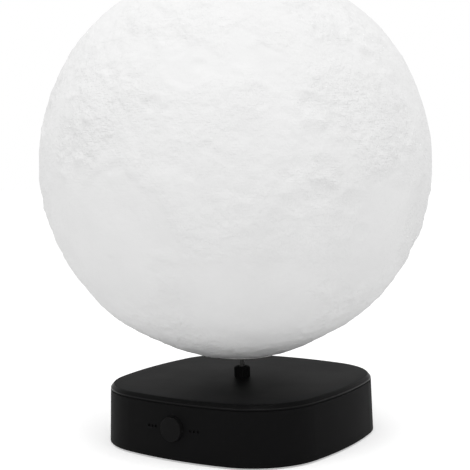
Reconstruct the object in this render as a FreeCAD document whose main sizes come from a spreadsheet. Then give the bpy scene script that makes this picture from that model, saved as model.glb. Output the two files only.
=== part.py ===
import FreeCAD, Part
import math
import os
import re

import Sketcher

# Moon lamp: a printed moon globe turns slowly on a slim spindle that rises from a low black base.
# Millimetres. The origin is the middle of the footprint on the table, +Z is up and -Y faces the push button.

Vector = FreeCAD.Vector
Rotation = FreeCAD.Rotation
Placement = FreeCAD.Placement

doc = FreeCAD.newDocument("MoonLamp")

# ---------------------------------------------------------------- driving dimensions

SIZES = {
    # globe
    "globe_radius": 90.0,
    "globe_wall": 1.8,
    "globe_gap": 7.0,
    "mouth_radius": 12.6,
    "seat_radius": 16.6,
    "mouth_boss_radius": 19.0,
    "mouth_boss_tall": 6.5,
    # base housing
    "foot_proud": 0.8,
    "half_side": 55.8,
    "corner_radius": 33.6,
    "side_radius": 158.0,
    "draft_deg": 1.9,
    "housing_tall": 23.95,
    "wall_thick": 2.2,
    "seam_gap": 0.25,
    "seam_depth": 0.5,
    "ledge_thick": 1.4,
    "ledge_reach": 1.6,
    # cover
    "rim_tall": 0.6,
    "band_tall": 1.8,
    "band_inset": 1.5,
    "lip_tall": 2.0,
    "lip_thick": 1.2,
    "pillar_radius": 3.5,
    "pillar_setback": 17.6,
    "pilot_deep": 10.0,
    # bottom plate and feet
    "plate_lift": 0.8,
    "plate_thick": 2.0,
    "plate_gap": 0.2,
    "foot_radius": 5.0,
    "foot_setback": 24.8,
    # countersunk cover screws
    "cover_screw_radius": 1.25,
    "cover_screw_head": 2.4,
    "cover_screw_sink": 1.2,
    "cover_screw_long": 10.0,
    "cross_wide": 0.6,
    "cross_long": 2.9,
    "cross_deep": 0.7,
    # push button in the front wall
    "button_drop": 10.4,
    "button_radius": 5.35,
    "button_gap": 0.1,
    "button_proud": 2.0,
    "button_rounding": 0.9,
    "button_flange": 6.3,
    "button_flange_thick": 1.0,
    "button_flange_gap": 0.1,
    "front_pad_depth": 4.1,
    "front_pad_half": 15.5,
    "front_pad_tall": 13.0,
    "pad_short": 1.9,
    # row of three indicator lights on each side of the button
    "light_radius": 0.65,
    "light_middle": 11.13,
    "light_pitch": 1.95,
    "light_sink": 0.5,
    # control board behind the front wall
    "board_setback": 5.2,
    "board_thick": 1.6,
    "board_wide": 44.0,
    "board_lift": 1.9,
    "board_drop": 2.25,
    "board_boss_reach": 18.5,
    "board_boss_radius": 2.75,
    "board_pilot_deep": 5.0,
    "small_screw_radius": 1.0,
    "small_screw_head": 1.9,
    "small_screw_head_tall": 1.3,
    "switch_side": 6.0,
    "switch_tall": 3.4,
    "plunger_radius": 1.7,
    "plunger_long": 1.6,
    "plunger_gap": 0.3,
    "switch_well": 1.9,
    "chip_tall": 0.8,
    "chip_wide": 1.6,
    "controller_wide": 7.0,
    "controller_deep": 1.2,
    "controller_tall": 5.0,
    "controller_gap": 1.5,
    "socket_wide": 22.0,
    "socket_deep": 4.0,
    "socket_tall": 5.0,
    "socket_lift": 2.5,
    "socket_pitch": 7.5,
    # spindle
    "tube_radius": 1.2,
    "tube_bore": 0.75,
    "core_radius": 0.45,
    "tube_lift": 4.8,
    "spindle_reach": 16.6,
    "sleeve_proud": 1.0,
    "core_proud": 1.0,
    "running_gap": 0.03,
    # gear pair
    "tooth_size": 0.7,
    "wheel_teeth": 54.0,
    "pinion_teeth": 18.0,
    "backlash": 0.16,
    "wheel_thick": 4.0,
    "pinion_thick": 4.8,
    "hub_radius": 4.5,
    "hub_tall": 5.8,
    "hub_gap": 0.4,
    "wheel_step": 0.6,
    "motor_shaft_radius": 1.5,
    # drive bracket
    "bracket_thick": 1.5,
    "bracket_left": 27.0,
    "bracket_right": 43.0,
    "bracket_half": 16.0,
    "bracket_corner": 4.0,
    "post_margin": 4.0,
    "post_radius": 2.9,
    # bearings
    "lower_bush_radius": 2.5,
    "lower_bush_long": 3.5,
    "lower_flange_radius": 4.0,
    "lower_flange_thick": 0.6,
    "washer_radius": 3.5,
    "washer_thick": 0.4,
    "play": 0.1,
    "neck_bush_radius": 2.5,
    "neck_bush_drop": 0.6,
    "neck_flange_radius": 6.5,
    "neck_flange_thick": 1.5,
    "neck_tail_radius": 3.2,
    "neck_tail_long": 1.45,
    "neck_hole_gap": 0.1,
    # fluted collar that nuts the bush down
    "collar_radius": 3.75,
    "collar_tall": 4.8,
    "collar_chamfer": 0.55,
    "collar_mouth": 1.6,
    "flute_radius": 0.38,
    "flute_count": 18.0,
    # gear motor
    "motor_radius": 12.5,
    "motor_gap": 0.4,
    "motor_boss_radius": 3.5,
    "motor_screw_reach": 10.0,
    "motor_tab": 2.4,
    "motor_tab_lift": 3.4,
    "motor_tab_wide": 2.0,
    "motor_tab_thick": 0.8,
    "motor_tab_reach": 3.0,
    "shaft_well_deep": 4.8,
    "motor_thread_deep": 4.0,
    "thread_deep": 6.0,
    "thread_spare": 1.0,
    # brushes
    "brush_block_tall": 2.4,
    "brush_block_wide": 10.0,
    "brush_block_left": 12.0,
    "brush_block_right": 6.0,
    "leaf_thick": 0.3,
    "leaf_wide": 1.6,
    "blade_wide": 3.0,
    "blade_gap": 1.1,
    "blade_foot_long": 3.2,
    "leaf_margin": 1.0,
    "brush_gap": 0.08,
    # power board and inlet in the back wall
    "supply_half": 16.0,
    "supply_socket_left": 10.0,
    "supply_socket_wide": 8.0,
    "supply_socket_deep": 4.0,
    "supply_socket_tall": 4.0,
    "parts_margin": 1.5,
    "coil_radius": 4.0,
    "coil_tall": 5.0,
    "capacitor_radius": 3.2,
    "capacitor_tall": 8.0,
    "regulator_wide": 5.0,
    "regulator_deep": 4.0,
    "regulator_tall": 1.6,
    "supply_setback": 4.8,
    "supply_deep": 25.0,
    "spacer_tall": 1.6,
    "spacer_radius": 2.5,
    "spacer_margin": 3.2,
    "spacer_back_margin": 5.2,
    "inlet_wide": 9.0,
    "inlet_long": 14.0,
    "inlet_tall": 11.0,
    "inlet_bore": 3.15,
    "inlet_bore_deep": 10.0,
    "inlet_pin_radius": 1.0,
    "inlet_sink": 0.3,
    "inlet_gap": 0.2,
    # wiring
    "wire_radius": 0.6,
    "wire_pitch": 1.5,
    "wire_floor_gap": 1.4,
    "wire_stub": 6.0,
    "back_lane_gap": 3.5,
    # globe cap and stem
    "cap_flange_thick": 1.6,
    "cap_recess": 1.04,
    "cap_edge_gap": 0.15,
    "cap_spigot_gap": 0.3,
    "cap_spigot_tall": 3.0,
    "cap_spigot_wall": 1.4,
    "stem_radius": 4.2,
    "stem_head_radius": 10.0,
    "stem_head_thick": 2.3,
    "socket_gap": 0.05,
    "ring_contact_radius": 3.3,
    "ring_contact_tall": 6.0,
    "ring_contact_drop": 9.0,
    "tip_contact_radius": 1.6,
    "tip_contact_thick": 0.8,
    "tip_contact_cover": 0.6,
    "cap_screw_reach": 14.7,
    "cap_screw_head": 1.5,
    "cap_screw_head_tall": 0.9,
    "cap_screw_radius": 0.8,
    "cap_screw_long": 5.5,
    # light
    "spreader_radius": 12.0,
    "spreader_thick": 2.0,
    "light_board_radius": 10.8,
    "light_board_thick": 1.2,
    "emitter_wide": 3.5,
    "emitter_deep": 2.8,
    "emitter_tall": 0.8,
    "emitter_reach": 6.6,
    "diffuser_radius": 12.2,
    "diffuser_wall": 1.1,
    "diffuser_skirt": 3.0,
    "lead_radius": 0.4,
    "lead_gap": 0.1,
    "light_screw_margin": 0.8,
    "light_screw_bite": 2.0,
}

# ---------------------------------------------------------------- heights and places worked out from them

LEVELS = {
    "plate_low": "foot_proud + plate_lift",
    "plate_top": "foot_proud + plate_lift + plate_thick",
    "ledge_top": "plate_top + ledge_thick",
    "housing_top": "foot_proud + housing_tall",
    "top_inset": "housing_tall * tan(draft_deg)",
    "cover_thick": "rim_tall + band_tall",
    "cover_top": "housing_top + cover_thick",
    "rim_top": "housing_top + rim_tall",
    "outer_inset": "0",
    "seam_inset": "top_inset + seam_depth",
    "inner_inset": "top_inset + wall_thick",
    "ledge_inset": "wall_thick + ledge_reach",
    "plate_inset": "wall_thick + plate_gap",
    "rim_inset": "top_inset + rim_tall * tan(draft_deg)",
    "lip_inset": "inner_inset + plate_gap",
    "lip_inner_inset": "lip_inset + lip_thick",
    "pillar_reach": "half_side - pillar_setback",
    "foot_reach": "half_side - foot_setback",
    "button_height": "housing_top - button_drop",
    "board_low": "plate_top + board_lift",
    "board_tall": "housing_top - board_drop - board_low",
    "socket_low": "board_low + socket_lift",
    "controller_low": "socket_low + socket_tall + controller_gap",
    "face_y": "half_side - (button_height - foot_proud) * tan(draft_deg)",
    "pad_y": "face_y - front_pad_depth",
    "board_y": "pad_y - board_setback",
    "board_back_y": "board_y - board_thick",
    "button_flange_y": "pad_y - button_flange_gap",
    "button_back_y": "button_flange_y - button_flange_thick",
    "button_long": "face_y + button_proud - button_back_y",
    "gear_centres": "tooth_size * (wheel_teeth + pinion_teeth) / 2",
    "neck_flange_low": "housing_top - neck_flange_thick",
    "hub_low": "neck_flange_low - neck_tail_long - hub_gap - hub_tall",
    "washer_low": "hub_low - play - washer_thick",
    "bracket_top": "washer_low - lower_flange_thick",
    "bracket_height": "bracket_top - bracket_thick",
    "motor_tall": "bracket_height - plate_top - motor_gap",
    "motor_tab_low": "plate_top + motor_tab_lift",
    "wheel_low": "hub_low + wheel_step",
    "pinion_low": "wheel_low + (wheel_thick - pinion_thick) / 2",
    "collar_top": "cover_top + collar_tall",
    "neck_bush_top": "collar_top - neck_bush_drop",
    "leaf_low": "plate_top + brush_block_tall",
    "blade_tall": "bracket_top - lower_bush_long - blade_gap - leaf_low",
    "supply_back": "half_side - supply_setback",
    "supply_front": "supply_back - supply_deep",
    "supply_low": "plate_top + spacer_tall",
    "supply_top": "supply_low + board_thick",
    "back_y": "half_side - (supply_top + inlet_tall / 2 - foot_proud) * tan(draft_deg)",
    "inlet_face_y": "back_y - inlet_sink",
    "seat_low": "collar_top + globe_gap",
    "globe_height": "seat_low + sqrt(pow(globe_radius; 2) - pow(seat_radius; 2))",
    "cap_seat": "seat_low + cap_recess",
    "cap_low": "cap_seat - cap_flange_thick",
    "boss_top": "cap_seat + mouth_boss_tall",
    "tube_low": "plate_top + tube_lift",
    "tube_top": "cap_low + spindle_reach",
    "ring_contact_low": "tube_top - ring_contact_drop",
    "sleeve_top": "tube_top + sleeve_proud",
    "core_top": "sleeve_top + core_proud",
    "sleeve_low": "tube_low - sleeve_proud",
    "core_low": "sleeve_low - core_proud",
    "tip_contact_low": "core_top + play",
    "stem_top": "tip_contact_low + tip_contact_thick + tip_contact_cover",
    "spreader_top": "stem_top + spreader_thick",
    "light_board_top": "spreader_top + light_board_thick",
    "post_left_x": "-bracket_left + post_margin",
    "post_right_x": "bracket_right - post_margin",
    "post_y": "bracket_half - post_margin",
}


def tied(text):
    """Writes each size and level that an expression names as its cell in the sheets."""
    def cell(match):
        word = match.group(0)
        if word in SIZES:
            return "sizes." + word
        if word in LEVELS:
            return "levels." + word
        return word
    return re.sub(r"[a-z][a-z_]*[a-z]", cell, text)


sizes = doc.addObject("Spreadsheet::Sheet", "sizes")
for row, (alias, number) in enumerate(SIZES.items(), 1):
    sizes.set(f"A{row}", alias)
    sizes.set(f"B{row}", str(number))
    sizes.setAlias(f"B{row}", alias)
doc.recompute()

levels = doc.addObject("Spreadsheet::Sheet", "levels")
for row, (alias, text) in enumerate(LEVELS.items(), 1):
    levels.set(f"A{row}", alias)
    levels.setAlias(f"B{row}", alias)
for row, text in enumerate(LEVELS.values(), 1):
    levels.set(f"B{row}", "=" + tied(text))
doc.recompute()


def size(alias):
    """The present value of a driving dimension or of a level."""
    sheet = sizes if alias in SIZES else levels
    return float(sheet.get(alias))


# ---------------------------------------------------------------- how pieces are made

nodes = {}


def node(label, item):
    """Names a finished piece of the lamp."""
    item.Label = label
    nodes[label] = item
    return item


def bind(item, **ties):
    for name, text in ties.items():
        item.setExpression(name, tied(text))
    return item


def put(item, x="0", y="0", z="0", turn=None):
    """Ties where an item stands to the sheets, after an optional fixed turn."""
    if turn:
        item.Placement = Placement(Vector(0, 0, 0), turn)
    for axis, text in (("x", x), ("y", y), ("z", z)):
        if text != "0":
            item.setExpression("Placement.Base." + axis, tied(text))
    return item


TO_BACK = Rotation(Vector(1, 0, 0), -90)


def cylinder(name, radius, tall, x="0", y="0", z="0", turn=None):
    item = doc.addObject("Part::Cylinder", name)
    return put(bind(item, Radius=radius, Height=tall), x, y, z, turn)


def cone(name, low, high, tall, x, y, z):
    item = doc.addObject("Part::Cone", name)
    return put(bind(item, Radius1=low, Radius2=high, Height=tall), x, y, z)


def box(name, x, y, z, wide, deep, tall):
    """A block from its lowest corner."""
    item = doc.addObject("Part::Box", name)
    return put(bind(item, Length=wide, Width=deep, Height=tall), x, y, z)


def group(name, items):
    item = doc.addObject("Part::Compound", name)
    item.Links = items
    return item


def fused(name, items):
    item = doc.addObject("Part::MultiFuse", name)
    item.Shapes = items
    return item


def cut(name, base, tools):
    item = doc.addObject("Part::Cut", name)
    item.Base = base
    item.Tool = tools[0] if len(tools) == 1 else fused(name + "_holes", tools)
    return item


def common(name, base, tool):
    item = doc.addObject("Part::Common", name)
    item.Base = base
    item.Tool = tool
    return item


def tube(name, outer, inner, tall, z, x="0", y="0"):
    """A ring or pipe on an upright axis, with its bore right through."""
    solid = cylinder(name + "_outer", outer, tall, x, y, z)
    bore = cylinder(name + "_bore", inner, f"{tall} + 2", x, y, f"{z} - 1")
    return cut(name, solid, [bore])


def pan_screw(name, radius, long, head, head_tall, x, y, z, turn=None):
    """A screw whose head stands on (x, y, z); its own +Z points out of the head, which has a cross slot."""
    shank = cylinder(name + "_shank", radius, long, z=f"-({long})")
    cap = cylinder(name + "_head", head, head_tall)
    body = fused(name + "_body", [shank, cap])
    slots = []
    for part, wide, deep in (("_slot_a", f"{head} * 1.2", f"{head} * 0.26"),
                             ("_slot_b", f"{head} * 0.26", f"{head} * 1.2")):
        slots.append(box(name + part, f"-({wide}) / 2", f"-({deep}) / 2", f"{head_tall} * 0.4",
                         wide, deep, head_tall))
    return put(cut(name, body, slots), x, y, z, turn)


def small_screw(name, long, x, y, z, turn=None):
    return pan_screw(name, "small_screw_radius", long, "small_screw_head", "small_screw_head_tall",
                     x, y, z, turn)


# ---------------------------------------------------------------- bodies, sketches and features

def new_body(name):
    return doc.addObject("PartDesign::Body", name)


def origin_item(body, role):
    return next(item for item in body.Origin.OriginFeatures if item.Role == role)


def sketch(body, name, plane="XY_Plane", offset="0"):
    """A sketch on one of the body's own planes, moved along that plane's normal."""
    item = body.newObject("Sketcher::SketchObject", name)
    item.AttachmentSupport = [(origin_item(body, plane), "")]
    item.MapMode = "FlatFace"
    if offset != "0":
        item.setExpression("AttachmentOffset.Base.z", tied(offset))
    return item


def dimension(item, text, kind, *where):
    """Adds a dimension to a sketch and ties it to the sheets."""
    index = item.addConstraint(Sketcher.Constraint(kind, *where))
    item.setExpression(f"Constraints[{index}]", tied(text))


def pin_point(item, edge, end, x, y):
    """Ties one point of a sketch's edge to a place, or keeps it on an axis where the distance is 0."""
    for text, kind, axis in ((x, "DistanceX", -2), (y, "DistanceY", -1)):
        if text == "0":
            item.addConstraint(Sketcher.Constraint("PointOnObject", edge, end, axis))
        else:
            dimension(item, text, kind, -1, 1, edge, end, 1.0)


def circle(item, radius, x="0", y="0"):
    edge = item.addGeometry(Part.Circle(Vector(1, 1, 0), Vector(0, 0, 1), 1.0), False)
    dimension(item, radius, "Radius", edge, 1.0)
    pin_point(item, edge, 3, x, y)


def polygon(item, points):
    """A closed outline of straight edges whose corners are all tied."""
    count = len(points)
    first = None
    for index in range(count):
        here = Vector(math.cos(index), math.sin(index), 0) * (5 + index)
        there = Vector(math.cos(index + 1), math.sin(index + 1), 0) * (6 + index)
        edge = item.addGeometry(Part.LineSegment(here, there), False)
        first = edge if first is None else first
        pin_point(item, edge, 1, *points[index])
    for index in range(count):
        following = first + (index + 1) % count
        item.addConstraint(Sketcher.Constraint("Coincident", first + index, 2, following, 1))


def rectangle(item, left, low, right, high):
    polygon(item, [(left, low), (right, low), (right, high), (left, high)])


def rounded_square(item, inset):
    """The base's outline, drawn in by a named inset: four bowed sides that run into round corners."""
    drawn_in = size(inset)
    side = size("side_radius") - drawn_in
    corner = size("corner_radius") - drawn_in
    half = size("half_side") - drawn_in
    centre = half - side
    reach = (2 * centre + math.sqrt(4 * centre ** 2 - 8 * (centre ** 2 - (side - corner) ** 2))) / 4
    sweep = math.atan2(reach, reach - centre)
    first = None
    for quarter in range(4):
        start = quarter * math.pi / 2
        along = Vector(math.cos(start), math.sin(start), 0)
        across = Vector(-math.sin(start), math.cos(start), 0)
        bow = Part.Circle(along * centre, Vector(0, 0, 1), side)
        edge = item.addGeometry(Part.ArcOfCircle(bow, start - sweep, start + sweep), False)
        first = edge if first is None else first
        turn = Part.Circle((along + across) * reach, Vector(0, 0, 1), corner)
        item.addGeometry(Part.ArcOfCircle(turn, start + sweep, start + math.pi / 2 - sweep), False)
    for index in range(8):
        item.addConstraint(Sketcher.Constraint("Tangent", first + index, 2, first + (index + 1) % 8, 1))
    for quarter in range(4):
        bow = first + 2 * quarter
        sign = ("-", "-", "", "")[quarter]
        dimension(item, f"side_radius - {inset}", "Radius", bow, side)
        dimension(item, f"corner_radius - {inset}", "Radius", bow + 1, corner)
        away = f"{sign}(side_radius - half_side)"
        kind, axis = (("DistanceX", -1), ("DistanceY", -2))[quarter % 2]
        dimension(item, away, kind, -1, 1, bow, 3, centre if sign else -centre)
        item.addConstraint(Sketcher.Constraint("PointOnObject", bow, 3, axis))


def pad(body, name, profile, tall, taper=None, down=False):
    item = body.newObject("PartDesign::Pad", name)
    item.Profile = profile
    item.Reversed = down
    bind(item, Length=tall)
    if taper:
        bind(item, TaperAngle=taper)
    return item


def pocket(body, name, profile, deep=None, taper=None, up=False):
    """Removes material along the sketch's normal, down unless told up; no depth means right through."""
    item = body.newObject("PartDesign::Pocket", name)
    item.Profile = profile
    item.Reversed = up
    if deep is None:
        item.Type = "ThroughAll"
    else:
        bind(item, Length=deep)
    if taper:
        bind(item, TaperAngle=taper)
    return item


def revolved(name, points):
    """A turned piece: an outline of (radius, height) corners spun about the vertical axis."""
    body = new_body(name)
    outline = sketch(body, name + "_outline", "XZ_Plane")
    polygon(outline, points)
    spin = body.newObject("PartDesign::Revolution", name + "_turned")
    spin.Profile = outline
    spin.ReferenceAxis = (outline, ["V_Axis"])
    spin.Angle = 360
    return body


def polar(body, name, feature, count):
    item = body.newObject("PartDesign::PolarPattern", name)
    item.Originals = [feature]
    item.Axis = (origin_item(body, "Z_Axis"), [""])
    item.Angle = 360
    bind(item, Occurrences=count)
    body.Tip = item
    return item


def at_corners(reach):
    """The four places on the base's diagonals."""
    return [(f"{sign_x} * {reach}", f"{sign_y} * {reach}") for sign_x in (1, -1) for sign_y in (1, -1)]


# ---------------------------------------------------------------- base housing: the moulded wall

housing = new_body("housing")
wall = sketch(housing, "wall_outline", offset="foot_proud")
rounded_square(wall, "outer_inset")
pad(housing, "wall", wall, "housing_tall - seam_gap", taper="-draft_deg")
tongue = sketch(housing, "seam_outline", offset="housing_top - seam_gap")
rounded_square(tongue, "seam_inset")
pad(housing, "seam_tongue", tongue, "seam_gap")
inside = sketch(housing, "inside_outline", offset="housing_top")
rounded_square(inside, "inner_inset")
pocket(housing, "inside", inside, "housing_top - ledge_top", taper="draft_deg")
throat = sketch(housing, "throat_outline", offset="foot_proud")
rounded_square(throat, "ledge_inset")
pocket(housing, "throat", throat, up=True)
recess = sketch(housing, "plate_recess_outline", offset="foot_proud")
rounded_square(recess, "wall_thick")
pocket(housing, "plate_recess", recess, "plate_lift + plate_thick", up=True)

front_pad = sketch(housing, "front_pad_outline", "XZ_Plane", "pad_y")
rectangle(front_pad, "-front_pad_half", "button_height - front_pad_tall / 2",
          "front_pad_half", "button_height + front_pad_tall / 2")
pad(housing, "front_pad", front_pad, "front_pad_depth - pad_short")
bosses = sketch(housing, "board_boss_outline", "XZ_Plane", "board_y")
for side in ("-", ""):
    circle(bosses, "board_boss_radius", side + "board_boss_reach", "button_height")
pad(housing, "board_bosses", bosses, "face_y - board_y - pad_short")
doc.recompute()

button_hole = sketch(housing, "button_hole_outline", "XZ_Plane")
circle(button_hole, "button_radius + button_gap", "0", "button_height")
pocket(housing, "button_hole", button_hole, "half_side + 1", up=True)
light_holes = sketch(housing, "light_hole_outline", "XZ_Plane")
for side in ("-", ""):
    for step in (-1, 0, 1):
        circle(light_holes, "light_radius", f"{side}(light_middle + {step} * light_pitch)", "button_height")
pocket(housing, "light_holes", light_holes, "half_side + 1", up=True)
board_pilots = sketch(housing, "board_pilot_outline", "XZ_Plane", "board_y")
for side in ("-", ""):
    circle(board_pilots, "small_screw_radius", side + "board_boss_reach", "button_height")
pocket(housing, "board_pilots", board_pilots, "board_pilot_deep", up=True)
window = sketch(housing, "inlet_window_outline", "XZ_Plane")
rectangle(window, "-inlet_wide / 2 - inlet_gap", "supply_top - inlet_gap",
          "inlet_wide / 2 + inlet_gap", "supply_top + inlet_tall + inlet_gap")
pocket(housing, "inlet_window", window, "half_side + 1")
node("base_housing", housing)

# ---------------------------------------------------------------- top cover with its bevelled edge

cover = new_body("cover")
rim = sketch(cover, "rim_outline", offset="housing_top")
rounded_square(rim, "top_inset")
pad(cover, "rim", rim, "rim_tall", taper="-draft_deg")
band = sketch(cover, "band_outline", offset="rim_top")
rounded_square(band, "rim_inset")
pad(cover, "band", band, "band_tall", taper="-atan(band_inset / band_tall)")
lip = sketch(cover, "lip_outline", offset="housing_top")
rounded_square(lip, "lip_inset")
rounded_square(lip, "lip_inner_inset")
pad(cover, "lip", lip, "lip_tall", down=True)
pillars = sketch(cover, "pillar_outline", offset="housing_top")
for x, y in at_corners("pillar_reach"):
    circle(pillars, "pillar_radius", x, y)
pad(cover, "pillars", pillars, "housing_top - plate_top", down=True)
neck_hole = sketch(cover, "neck_hole_outline", offset="cover_top")
circle(neck_hole, "neck_bush_radius + neck_hole_gap")
pocket(cover, "neck_hole", neck_hole)
pilots = sketch(cover, "pilot_outline", offset="plate_top")
for x, y in at_corners("pillar_reach"):
    circle(pilots, "cover_screw_radius", x, y)
pocket(cover, "pilots", pilots, "pilot_deep", up=True)
node("top_cover", cover)

# ---------------------------------------------------------------- steel bottom plate, feet and cover screws

plate = new_body("plate")
plate_outline = sketch(plate, "plate_outline", offset="plate_low")
rounded_square(plate_outline, "plate_inset")
for x, y in at_corners("pillar_reach"):
    circle(plate_outline, "cover_screw_radius", x, y)
pad(plate, "sheet", plate_outline, "plate_thick")
doc.recompute()
sinks = [cone(f"screw_sink_{index}", "cover_screw_head", "cover_screw_radius", "cover_screw_sink",
              x, y, "plate_low") for index, (x, y) in enumerate(at_corners("pillar_reach"))]
node("bottom_plate", cut("sunk_plate", plate, sinks))

CROSS = (("cross_long", "cross_wide"), ("cross_wide", "cross_long"))
screws = []
for index, (x, y) in enumerate(at_corners("pillar_reach")):
    head = cone(f"cover_screw_head_{index}", "cover_screw_head", "cover_screw_radius", "cover_screw_sink",
                x, y, "plate_low")
    shank = cylinder(f"cover_screw_shank_{index}", "cover_screw_radius", "cover_screw_long",
                     x, y, "plate_low")
    slots = [box(f"cover_screw_slot_{index}_{turn}", f"{x} - {wide} / 2", f"{y} - {deep} / 2",
                 "plate_low - 1", wide, deep, "1 + cross_deep")
             for turn, (wide, deep) in enumerate(CROSS)]
    screws.append(cut(f"cover_screw_{index}", fused(f"cover_screw_body_{index}", [head, shank]), slots))
node("cover_screws", group("cover_screw_set", screws))

feet = [cylinder(f"foot_{index}", "foot_radius", "plate_low", x, y)
        for index, (x, y) in enumerate(at_corners("foot_reach"))]
node("rubber_feet", group("foot_set", feet))

# ---------------------------------------------------------------- neck: bearing bush and fluted collar

node("neck_bush", revolved("neck_bush_turned", [
    ("tube_radius + running_gap", "neck_flange_low - neck_tail_long"),
    ("neck_tail_radius", "neck_flange_low - neck_tail_long"),
    ("neck_tail_radius", "neck_flange_low"),
    ("neck_flange_radius", "neck_flange_low"),
    ("neck_flange_radius", "housing_top"),
    ("neck_bush_radius", "housing_top"),
    ("neck_bush_radius", "neck_bush_top"),
    ("tube_radius + running_gap", "neck_bush_top"),
]))

collar = revolved("collar", [
    ("neck_bush_radius", "cover_top"),
    ("collar_radius", "cover_top"),
    ("collar_radius", "collar_top - collar_chamfer"),
    ("collar_radius - collar_chamfer", "collar_top"),
    ("collar_mouth", "collar_top"),
    ("collar_mouth", "neck_bush_top"),
    ("neck_bush_radius", "neck_bush_top"),
])
flute_outline = sketch(collar, "flute_outline", offset="cover_top")
circle(flute_outline, "flute_radius", "collar_radius + flute_radius * 0.25")
doc.recompute()
flute = pocket(collar, "flute", flute_outline, "collar_tall + 1", up=True)
doc.recompute()
polar(collar, "flutes", flute, "flute_count")
node("neck_collar", collar)

# ---------------------------------------------------------------- spindle: live tube, sleeve and core

node("spindle_tube", tube("tube", "tube_radius", "tube_bore", "tube_top - tube_low", "tube_low"))
node("insulating_sleeve", tube("sleeve", "tube_bore", "core_radius", "sleeve_top - sleeve_low",
                               "sleeve_low"))
node("spindle_core", cylinder("core", "core_radius", "core_top - core_low", z="core_low"))


# ---------------------------------------------------------------- gear pair

def involute(angle):
    return math.tan(angle) - angle


def gear_face(teeth, middle):
    """The flat outline of a spur gear with true flanks, and a tooth centred on the angle middle."""
    module = size("tooth_size")
    pitch = module * teeth / 2
    pressure = math.radians(20)
    base = pitch * math.cos(pressure)
    tip = pitch + module
    root = pitch - 1.25 * module
    half = math.pi / (2 * teeth) - size("backlash") / (4 * pitch)
    start = max(base, root)
    steps = 5

    def flank(side, centre):
        points = []
        for step in range(steps):
            radius = start + (tip - start) * step / (steps - 1)
            lean = half + involute(pressure) - involute(math.acos(min(1.0, base / radius)))
            points.append(polar_point(radius, centre + side * lean))
        return points

    edges = []
    turn = 2 * math.pi / teeth
    for tooth in range(int(teeth)):
        centre = middle + tooth * turn
        rise = flank(-1, centre)
        fall = flank(1, centre)
        foot = polar_point(root, math.atan2(rise[0].y, rise[0].x))
        toe = polar_point(root, math.atan2(fall[0].y, fall[0].x))
        following = flank(-1, centre + turn)[0]
        next_foot = polar_point(root, math.atan2(following.y, following.x))
        if start > root + 1e-6:
            edges.append(Part.makeLine(foot, rise[0]))
        edges.append(curve(rise))
        edges.append(Part.Arc(rise[-1], polar_point(tip, centre), fall[-1]).toShape())
        edges.append(curve(fall[::-1]))
        if start > root + 1e-6:
            edges.append(Part.makeLine(fall[0], toe))
        edges.append(Part.Arc(toe, polar_point(root, centre + turn / 2), next_foot).toShape())
    return Part.Face(Part.Wire(edges))


def polar_point(radius, angle):
    return Vector(radius * math.cos(angle), radius * math.sin(angle), 0)


def curve(points):
    spline = Part.BSplineCurve()
    spline.interpolate(points)
    return spline.toShape()


def gear_feature(name, teeth, middle, thick):
    item = doc.addObject("Part::Feature", name)
    item.Shape = gear_face(teeth, middle).extrude(Vector(0, 0, thick))
    return item


wheel_teeth = round(size("wheel_teeth"))
pinion_teeth = round(size("pinion_teeth"))
toothed_disc = put(gear_feature("toothed_disc", wheel_teeth, 0.0, size("wheel_thick")), z="wheel_low")
wheel_hub = cylinder("wheel_hub", "hub_radius", "hub_tall", z="hub_low")
wheel_bore = cylinder("wheel_bore", "tube_radius", "hub_tall + 2", z="hub_low - 1")
node("drive_gear", cut("bored_wheel", fused("wheel", [toothed_disc, wheel_hub]), [wheel_bore]))

pinion_gap = math.pi + math.pi / pinion_teeth
pinion = put(gear_feature("pinion", pinion_teeth, pinion_gap, size("pinion_thick")),
             x="gear_centres", z="pinion_low")
pinion_bore = cylinder("pinion_bore", "motor_shaft_radius", "pinion_thick + 2", "gear_centres",
                       z="pinion_low - 1")
node("motor_pinion", cut("bored_pinion", pinion, [pinion_bore]))
SHAFT_LOW = "(bracket_height - shaft_well_deep + play)"
node("motor_shaft", cylinder("shaft", "motor_shaft_radius", f"pinion_low + pinion_thick - {SHAFT_LOW}",
                             "gear_centres", z=SHAFT_LOW))

# ---------------------------------------------------------------- drive bracket on its four posts

POSTS = (("post_left_x", "-post_y"), ("post_left_x", "post_y"), ("post_right_x", "-post_y"),
         ("post_right_x", "post_y"))

bracket = new_body("bracket")
bracket_outline = sketch(bracket, "bracket_outline", offset="bracket_height")
rectangle(bracket_outline, "-bracket_left", "-bracket_half", "bracket_right", "bracket_half")
circle(bracket_outline, "lower_bush_radius")
circle(bracket_outline, "motor_boss_radius", "gear_centres")
for x, y in POSTS:
    circle(bracket_outline, "small_screw_radius", x, y)
for side in ("-", ""):
    circle(bracket_outline, "small_screw_radius", "gear_centres", side + "motor_screw_reach")
sheet_pad = pad(bracket, "bracket_sheet", bracket_outline, "bracket_thick")
doc.recompute()
upright = [f"Edge{index}" for index, edge in enumerate(sheet_pad.Shape.Edges, 1)
           if edge.Curve.TypeId == "Part::GeomLine" and abs(edge.tangentAt(edge.FirstParameter).z) > 0.9
           and abs(abs(edge.Vertexes[0].Y) - size("bracket_half")) < 1e-6]
rounding = bracket.newObject("PartDesign::Fillet", "bracket_corners")
rounding.Base = (sheet_pad, upright)
bind(rounding, Radius="bracket_corner")
node("drive_bracket", bracket)

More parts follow.
